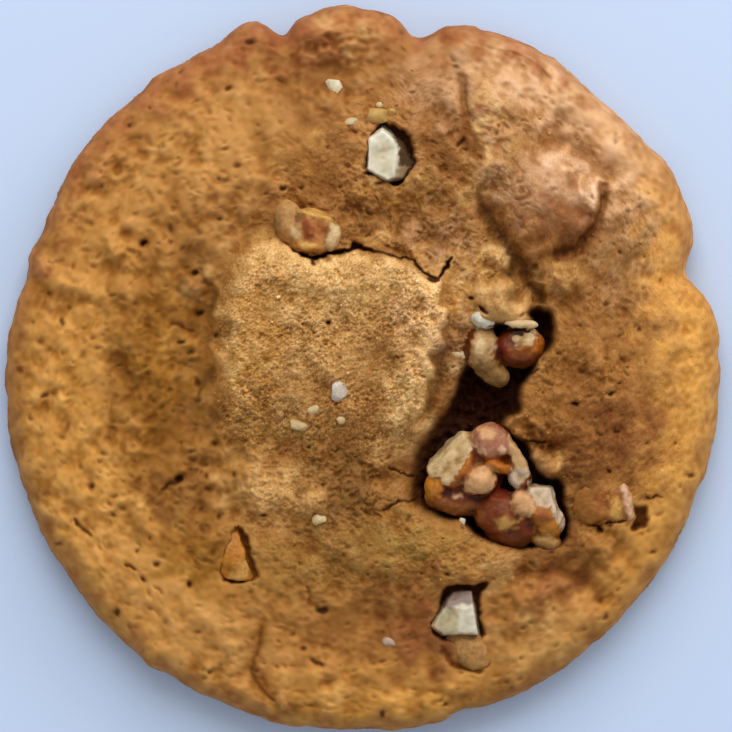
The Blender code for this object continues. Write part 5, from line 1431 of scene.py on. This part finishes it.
EAST_WALNUT_PAINT = (
    ("toffee", 1.0, egg(29.0, -16.2, 2.0, 2.4)),
    ("gold", 0.5, egg(30.0, -17.2, 0.8, 1.6, 10)),
    ("rose", 0.35, ((30.1, -13.2), (31.2, -13.2), (31.6, -15.0), (32.0, -16.4), (32.6, -17.4), (32.4, -18.6),
                    (31.5, -18.6), (31.1, -17.2), (30.7, -15.4))),
)
SOUTH_WALNUT = ((12.3, -34.0, 6.6, 3.1, 2.2, 2.1, -40, ((12.0, -34.0, 8.4), (-0.06, -0.08, 1.0))),)
# painted shade on the lower left of the nut
SOUTH_WALNUT_PAINT = (("moss", 0.8, egg(10.6, -35.2, 1.4, 0.9, -35)),)

NUTS = (                    # name, lobes, ground tint, painted outlines, voxel
    ("walnut_large", LARGE_WALNUT, "skin", LARGE_WALNUT_PAINT, LARGE_NUT_VOXEL),
    ("walnut_right", RIGHT_WALNUT, "umber", RIGHT_WALNUT_PAINT, SMALL_NUT_VOXEL),
    ("walnut_north", NORTH_WALNUT, "fawn", NORTH_WALNUT_PAINT, SMALL_NUT_VOXEL),
    ("walnut_southwest", SOUTHWEST_WALNUT, "amber", SOUTHWEST_WALNUT_PAINT, SMALL_NUT_VOXEL),
    ("walnut_east", EAST_WALNUT, "bark", EAST_WALNUT_PAINT, SMALL_NUT_VOXEL),
    ("walnut_south", SOUTH_WALNUT, "fawn", SOUTH_WALNUT_PAINT, SMALL_NUT_VOXEL),
)


def make_nut(name, lobes, ground, patches, voxel, material):
    nut = join([model_lobe(*lobe) for lobe in lobes])
    even_out(nut, voxel, NUT_WEAR)
    roughen_piece(nut, NUT_BUMPS)
    paint_piece(nut, ground, patches)
    return in_metres(nut, name + "_kernel", material, name)


# Blocks of chocolate: middle, half of each side, turn; then the cuts, the sides first.
NORTH_CHOCOLATE = ((2.7, 25.3, 7.6), (3.2, 3.6, 2.8), 0.0)
NORTH_CHOCOLATE_CUTS = (
    ((0.15, 25.3, 8.0), (-1.0, 0.05, 0.1)), ((0.75, 27.8, 8.0), (-0.6, 0.8, 0.15)),
    ((3.3, 27.6, 8.0), (0.62, 0.78, 0.2)), ((4.9, 25.6, 8.0), (0.9, 0.43, 0.25)),
    ((5.1, 23.6, 8.0), (0.85, -0.5, 0.2)), ((3.4, 22.35, 8.0), (0.25, -0.97, 0.1)),
    ((1.2, 22.9, 8.0), (-0.48, -0.87, 0.1)),
    ((2.0, 25.5, 9.7), (-0.12, -0.05, 1.0)), ((3.7, 25.0, 9.7), (0.72, -0.1, 0.68)),
)
NORTH_CHOCOLATE_PAINT = (
    # painted shade on the facet turned from the light and in the gap beside it
    ("smoke", 0.25,
     ((3.0, 28.6), (3.6, 26.6), (3.9, 24.9), (3.8, 24.2), (4.6, 23.6), (6.0, 24.0), (5.0, 28.0))),
    ("ash", 0.4,
     ((3.9, 24.0), (3.6, 23.2), (3.0, 22.3), (3.6, 21.8), (5.6, 23.0), (5.4, 23.9), (4.6, 23.9))),
)
SOUTH_CHOCOLATE = ((11.0, -29.8, 7.3), (3.6, 3.2, 2.6), -8.0)
SOUTH_CHOCOLATE_CUTS = (
    ((13.1, -29.6, 8.0), (0.99, 0.14, 0.1)), ((8.9, -29.5, 8.0), (-0.85, 0.53, 0.15)),
    ((8.7, -31.9, 8.0), (-0.6, -0.8, 0.15)), ((11.0, -32.3, 8.0), (0.0, -1.0, 0.1)),
    ((11.0, -27.0, 8.0), (-0.05, 1.0, 0.1)),
    ((12.0, -30.0, 9.5), (0.15, -0.1, 1.0)), ((10.8, -30.8, 9.4), (-0.2, -0.05, 1.0)),
    ((11.0, -28.6, 9.3), (-0.1, 0.5, 0.9)),
)
SOUTH_CHOCOLATE_PAINT = (
    ("shell", 0.3, ((7.4, -31.2), (9.2, -28.8), (11.0, -28.6), (11.1, -32.6), (8.6, -32.4))),
    # painted shadow of the crust's lip over the top edge and in the gap beneath it
    ("dusk", 0.35,
     ((8.4, -29.0), (10.2, -29.0), (11.6, -28.5), (13.4, -28.7), (13.4, -26.6), (9.0, -26.6))),
    ("rose", 0.3, egg(7.9, -31.1, 0.5, 0.5, 0)),
    ("ash", 0.25, ((8.4, -31.9), (13.4, -31.9), (13.4, -33.0), (8.4, -33.0))),
)
CHOCOLATES = (              # name, block, cuts, ground tint, painted outlines
    ("chocolate_north", NORTH_CHOCOLATE, NORTH_CHOCOLATE_CUTS, "pearl", NORTH_CHOCOLATE_PAINT),
    ("chocolate_south", SOUTH_CHOCOLATE, SOUTH_CHOCOLATE_CUTS, "white", SOUTH_CHOCOLATE_PAINT),
)
CHOCOLATE_BUMPS = ((2.4, 0.05, 51), (0.9, 0.015, 52))
CHOCOLATE_WEAR = 6          # rounds of smoothing


def make_chocolate(name, block, cuts, ground, patches, material):
    """A block of chocolate with worn edges, chopped along its cuts."""
    middle, half_sides, turn = block
    deselect()
    bpy.ops.mesh.primitive_cube_add(
        size=2.0, location=middle, rotation=(0.0, 0.0, math.radians(turn)), scale=half_sides)
    piece = bpy.context.object
    bpy.ops.object.transform_apply(location=True, rotation=True, scale=True)
    cut_flat(piece, cuts)
    even_out(piece, SMALL_NUT_VOXEL, CHOCOLATE_WEAR)
    roughen_piece(piece, CHOCOLATE_BUMPS)
    paint_piece(piece, ground, patches)
    return in_metres(piece, name + "_chunk", material, name)


# Bits on the crust: finish, x, y, half length, half width, turn, share of it standing proud.
BITS = (
    ("white", -3.8, 33.7, 1.7, 0.85, -60, 0.55), ("yellow", 1.2, 30.0, 1.9, 0.95, 0, 0.5),
    ("yellow", 3.0, 30.5, 0.6, 0.45, 0, 0.5), ("pale", -1.8, 29.2, 1.0, 0.6, 10, 0.45),
    ("pale", 1.6, 31.3, 0.45, 0.4, 0, 0.5), ("white", 11.55, -18.6, 0.75, 0.4, 80, 0.9),
    ("pale", 11.0, 1.4, 1.3, 0.6, -20, 0.45), ("mauve", 15.3, -20.0, 0.5, 0.4, 0, 0.6),
    ("crystal", -3.4, -2.9, 1.25, 1.45, 10, 0.5), ("pale", -8.2, -7.1, 1.3, 0.7, -10, 0.4),
    ("pale", -6.3, -5.2, 0.8, 0.6, 20, 0.4), ("pale", -3.0, -6.5, 0.6, 0.5, 0, 0.4),
    ("pale", -5.6, -18.4, 0.9, 0.8, 0, 0.4), ("mauve", 2.7, -33.2, 0.9, 0.6, -30, 0.4),
)
BIT_SEED = 71
BIT_HEIGHT = 0.8            # half of it, as a share of the half width
BIT_CUTS = 5                # flat faces that a bit is chipped to
BIT_CUT_PLACES = (0.45, 0.75)   # where those lie, as a share of the way out
BIT_CUT_LEAN = 0.6          # below 1 those faces stand steeper
BIT_WEAR = 0.08             # width of its worn edges, as a share of the half width
BIT_FINISHES = {            # colour, a darker one clouded into it, roughness
    "white": ((0.78, 0.70, 0.48), (0.62, 0.50, 0.30), 0.45),
    "yellow": ((0.50, 0.29, 0.065), (0.42, 0.22, 0.045), 0.55),
    "pale": ((0.62, 0.47, 0.24), (0.50, 0.33, 0.14), 0.6),
    "crystal": ((0.62, 0.55, 0.46), (0.50, 0.40, 0.30), 0.3),
    "mauve": ((0.50, 0.36, 0.26), (0.34, 0.21, 0.14), 0.6),
}


def make_bit(crust, x, y, length, width, turn, proud, draw):
    """A chipped crumb of nut, chocolate or sugar, sunk partly into the crust."""
    height = BIT_HEIGHT * width
    z = float(crust.read(crust.top, x, y)) + height * (2.0 * proud - 1.0)
    deselect()
    bpy.ops.mesh.primitive_ico_sphere_add(
        subdivisions=3, location=(x, y, z), rotation=(0.0, 0.0, math.radians(turn)),
        scale=(length, width, height))
    bit = bpy.context.object
    bpy.ops.object.transform_apply(location=True, rotation=True, scale=True)
    cuts = []
    for _ in range(BIT_CUTS):
        way = draw.standard_normal(3)
        way[2] = abs(way[2]) * BIT_CUT_LEAN
        way /= np.linalg.norm(way)
        reach = np.abs(way) @ np.array([length, width, height])
        cuts.append((np.array([x, y, z]) + way * reach * draw.uniform(*BIT_CUT_PLACES), way))
    cut_flat(bit, cuts)
    bevel = bit.modifiers.new("worn edges", "BEVEL")
    bevel.width = BIT_WEAR * width
    bevel.segments = 2
    apply_modifier(bit, bevel)
    return bit


def make_bits(crust):
    draw = np.random.default_rng(BIT_SEED)
    for finish, (colour, darker, roughness) in BIT_FINISHES.items():
        bits = [make_bit(crust, *bit[1:], draw) for bit in BITS if bit[0] == finish]
        material = make_bit_material("bit_" + finish, colour, darker, roughness)
        in_metres(join(bits), "bits_" + finish, material)


# ---- loose crumbs

CRUMBS = 320
CRUMB_SIZES = (0.10, 0.30)  # mm, half length
CRUMB_SHRINKING = (0.5, 1.0)    # each is then drawn smaller by such a factor
CRUMB_LEAN = 0.5            # radians at most
CRUMB_RISE = 0.3            # how far its middle lies above the crust, as a share of the half length
CRUMB_REACH = 40.0          # mm from the middle
CRUMB_SEED = 91
CRUMB_BRIGHTNESS = 1.2      # beside the crust that it lies on
CRUMB_CHANCES = (0.25, 2.0, 3.0)    # on crumbly crust, on the slab's edge and on the torn edge
CRUMB_EDGES = (0.9, 0.7)    # mm, how far each of those two edges is blurred
TORN_LIMIT = 0.05           # how torn the crust under a crumb may be


def model_crumb():
    """A grain of baked crumb, 2 mm long, to be copied at its true size."""
    deselect()
    bpy.ops.mesh.primitive_ico_sphere_add(subdivisions=2, scale=(1.0, 0.8, 0.65))
    crumb = bpy.context.object
    bpy.ops.object.transform_apply(location=True, rotation=True, scale=True)
    cut_flat(crumb, (((0.5, 0.0, 0.3), (0.7, 0.2, 0.7)), ((-0.6, 0.2, 0.0), (-0.9, 0.4, 0.1)),
                     ((0.1, -0.5, 0.1), (0.1, -0.9, 0.3))))
    roughen_piece(crumb, ((0.9, 0.08, 92),))
    return crumb


def make_crumbs(crust, browning, material):
    """Crumbs strewn by a seeded draw on the slab and along the torn edges."""
    slab = crust.soften(inside(crust.sx, crust.sy, PLATEAU), CRUMB_EDGES[0])
    torn = crust.soften(crust.torn, CRUMB_EDGES[1])
    on_crumbly, on_slab_edge, on_torn_edge = CRUMB_CHANCES
    likely = on_crumbly * crust.crumbly ** 2
    likely += on_slab_edge * slab * (1.0 - slab)
    likely += on_torn_edge * torn * (1.0 - torn)
    first = model_crumb()
    own_points = read_points(first)
    draw = np.random.default_rng(CRUMB_SEED)
    crumbs = []
    while len(crumbs) < CRUMBS:
        x, y = draw.uniform(-CRUMB_REACH, CRUMB_REACH, 2)
        size = draw.uniform(*CRUMB_SIZES) * draw.uniform(*CRUMB_SHRINKING)
        turn, lean = draw.uniform(0.0, 2.0 * math.pi), draw.uniform(-CRUMB_LEAN, CRUMB_LEAN)
        if draw.uniform() > crust.read(likely, x, y) or crust.read(crust.torn, x, y) > TORN_LIMIT:
            continue
        copy = first.copy()
        copy.data = first.data.copy()
        bpy.context.collection.objects.link(copy)
        c, s = math.cos(turn), math.sin(turn)
        px, py, pz = (own_points * size).T
        px, pz = px * math.cos(lean) - pz * math.sin(lean), px * math.sin(lean) + pz * math.cos(lean)
        z = float(crust.read(crust.top, x, y)) + CRUMB_RISE * size
        write_points(copy, np.column_stack([x + px * c - py * s, y + px * s + py * c, z + pz]))
        colour = CRUMB_BRIGHTNESS * crust.read(browning, [x], [y])
        write_colour(copy, "browning", np.repeat(colour, len(px), axis=0))
        write_mask(copy, "crumbly", np.ones(len(px)))
        crumbs.append(copy)
    bpy.data.objects.remove(first)
    in_metres(join(crumbs), "crumbs_loose", material)


# ---- floor, light and camera

FLOOR_SIZE = 6.0            # m
FLOOR_COLOUR = (0.56, 0.68, 0.90)
FLOOR_ROUGHNESS = 0.55


def make_floor():
    deselect()
    bpy.ops.mesh.primitive_plane_add(size=FLOOR_SIZE)
    floor = bpy.context.object
    floor.name = "floor"
    material, tree, shader = new_material("floor_pale", FLOOR_ROUGHNESS)
    feed(tree, shader.inputs["Base Color"], (*FLOOR_COLOUR, 1.0))
    floor.data.materials.append(material)


LIGHTS = (                  # name, bearing and elevation in degrees, distance m, size m, watts, colour
    ("window", 88.0, 42.0, 0.9, 0.75, 6.4, (1.0, 0.99, 0.97)),
    ("side", 38.0, 20.0, 0.8, 0.4, 1.6, (1.0, 0.98, 0.96)),
)
ROOM_LIGHT = ((0.93, 0.96, 1.0), 0.52)


def make_lights():
    for name, bearing, elevation, distance, size, watts, colour in LIGHTS:
        b, e = math.radians(bearing), math.radians(elevation)
        bpy.ops.object.light_add(
            type="AREA", location=(distance * math.cos(e) * math.cos(b),
                                   distance * math.cos(e) * math.sin(b), distance * math.sin(e)),
            rotation=(math.pi / 2 - e, 0.0, b + math.pi / 2))
        light = bpy.context.object
        light.name = name
        light.data.size = size
        light.data.energy = watts
        light.data.color = colour
    world = bpy.data.worlds.new("room")
    bpy.context.scene.world = world
    world.use_nodes = True
    sky = world.node_tree.nodes["Background"]
    sky.inputs["Color"].default_value = (*ROOM_LIGHT[0], 1.0)
    sky.inputs["Strength"].default_value = ROOM_LIGHT[1]


CAMERA_HEIGHT = 0.8         # m
NEAREST_SEEN = 0.01         # m
LOOKED_AT = 0.008           # m, the height at which the frame is FRAME_WIDTH wide
FRAME_WIDTH = 0.08784       # m


def make_camera():
    bpy.ops.object.camera_add(location=(0.0, 0.0, CAMERA_HEIGHT), rotation=(0.0, 0.0, 0.0))
    camera = bpy.context.object
    camera.name = "overhead"
    camera.data.lens = camera.data.sensor_width * (CAMERA_HEIGHT - LOOKED_AT) / FRAME_WIDTH
    camera.data.clip_start = NEAREST_SEEN
    bpy.context.scene.camera = camera


def main():
    crust = CrustMap()
    browning = paint(crust)
    grain = make_grain_group()
    crust_material = make_crust_material(grain)
    make_dough(crust, browning, crust_material)
    make_crumbs(crust, browning, crust_material)
    nut_material = make_nut_material()
    for nut in NUTS:
        make_nut(*nut, nut_material)
    chocolate_material = make_chocolate_material()
    for chocolate in CHOCOLATES:
        make_chocolate(*chocolate, chocolate_material)
    make_bits(crust)
    make_floor()
    make_lights()
    make_camera()
    bpy.context.scene.view_settings.view_transform = "Standard"


main()
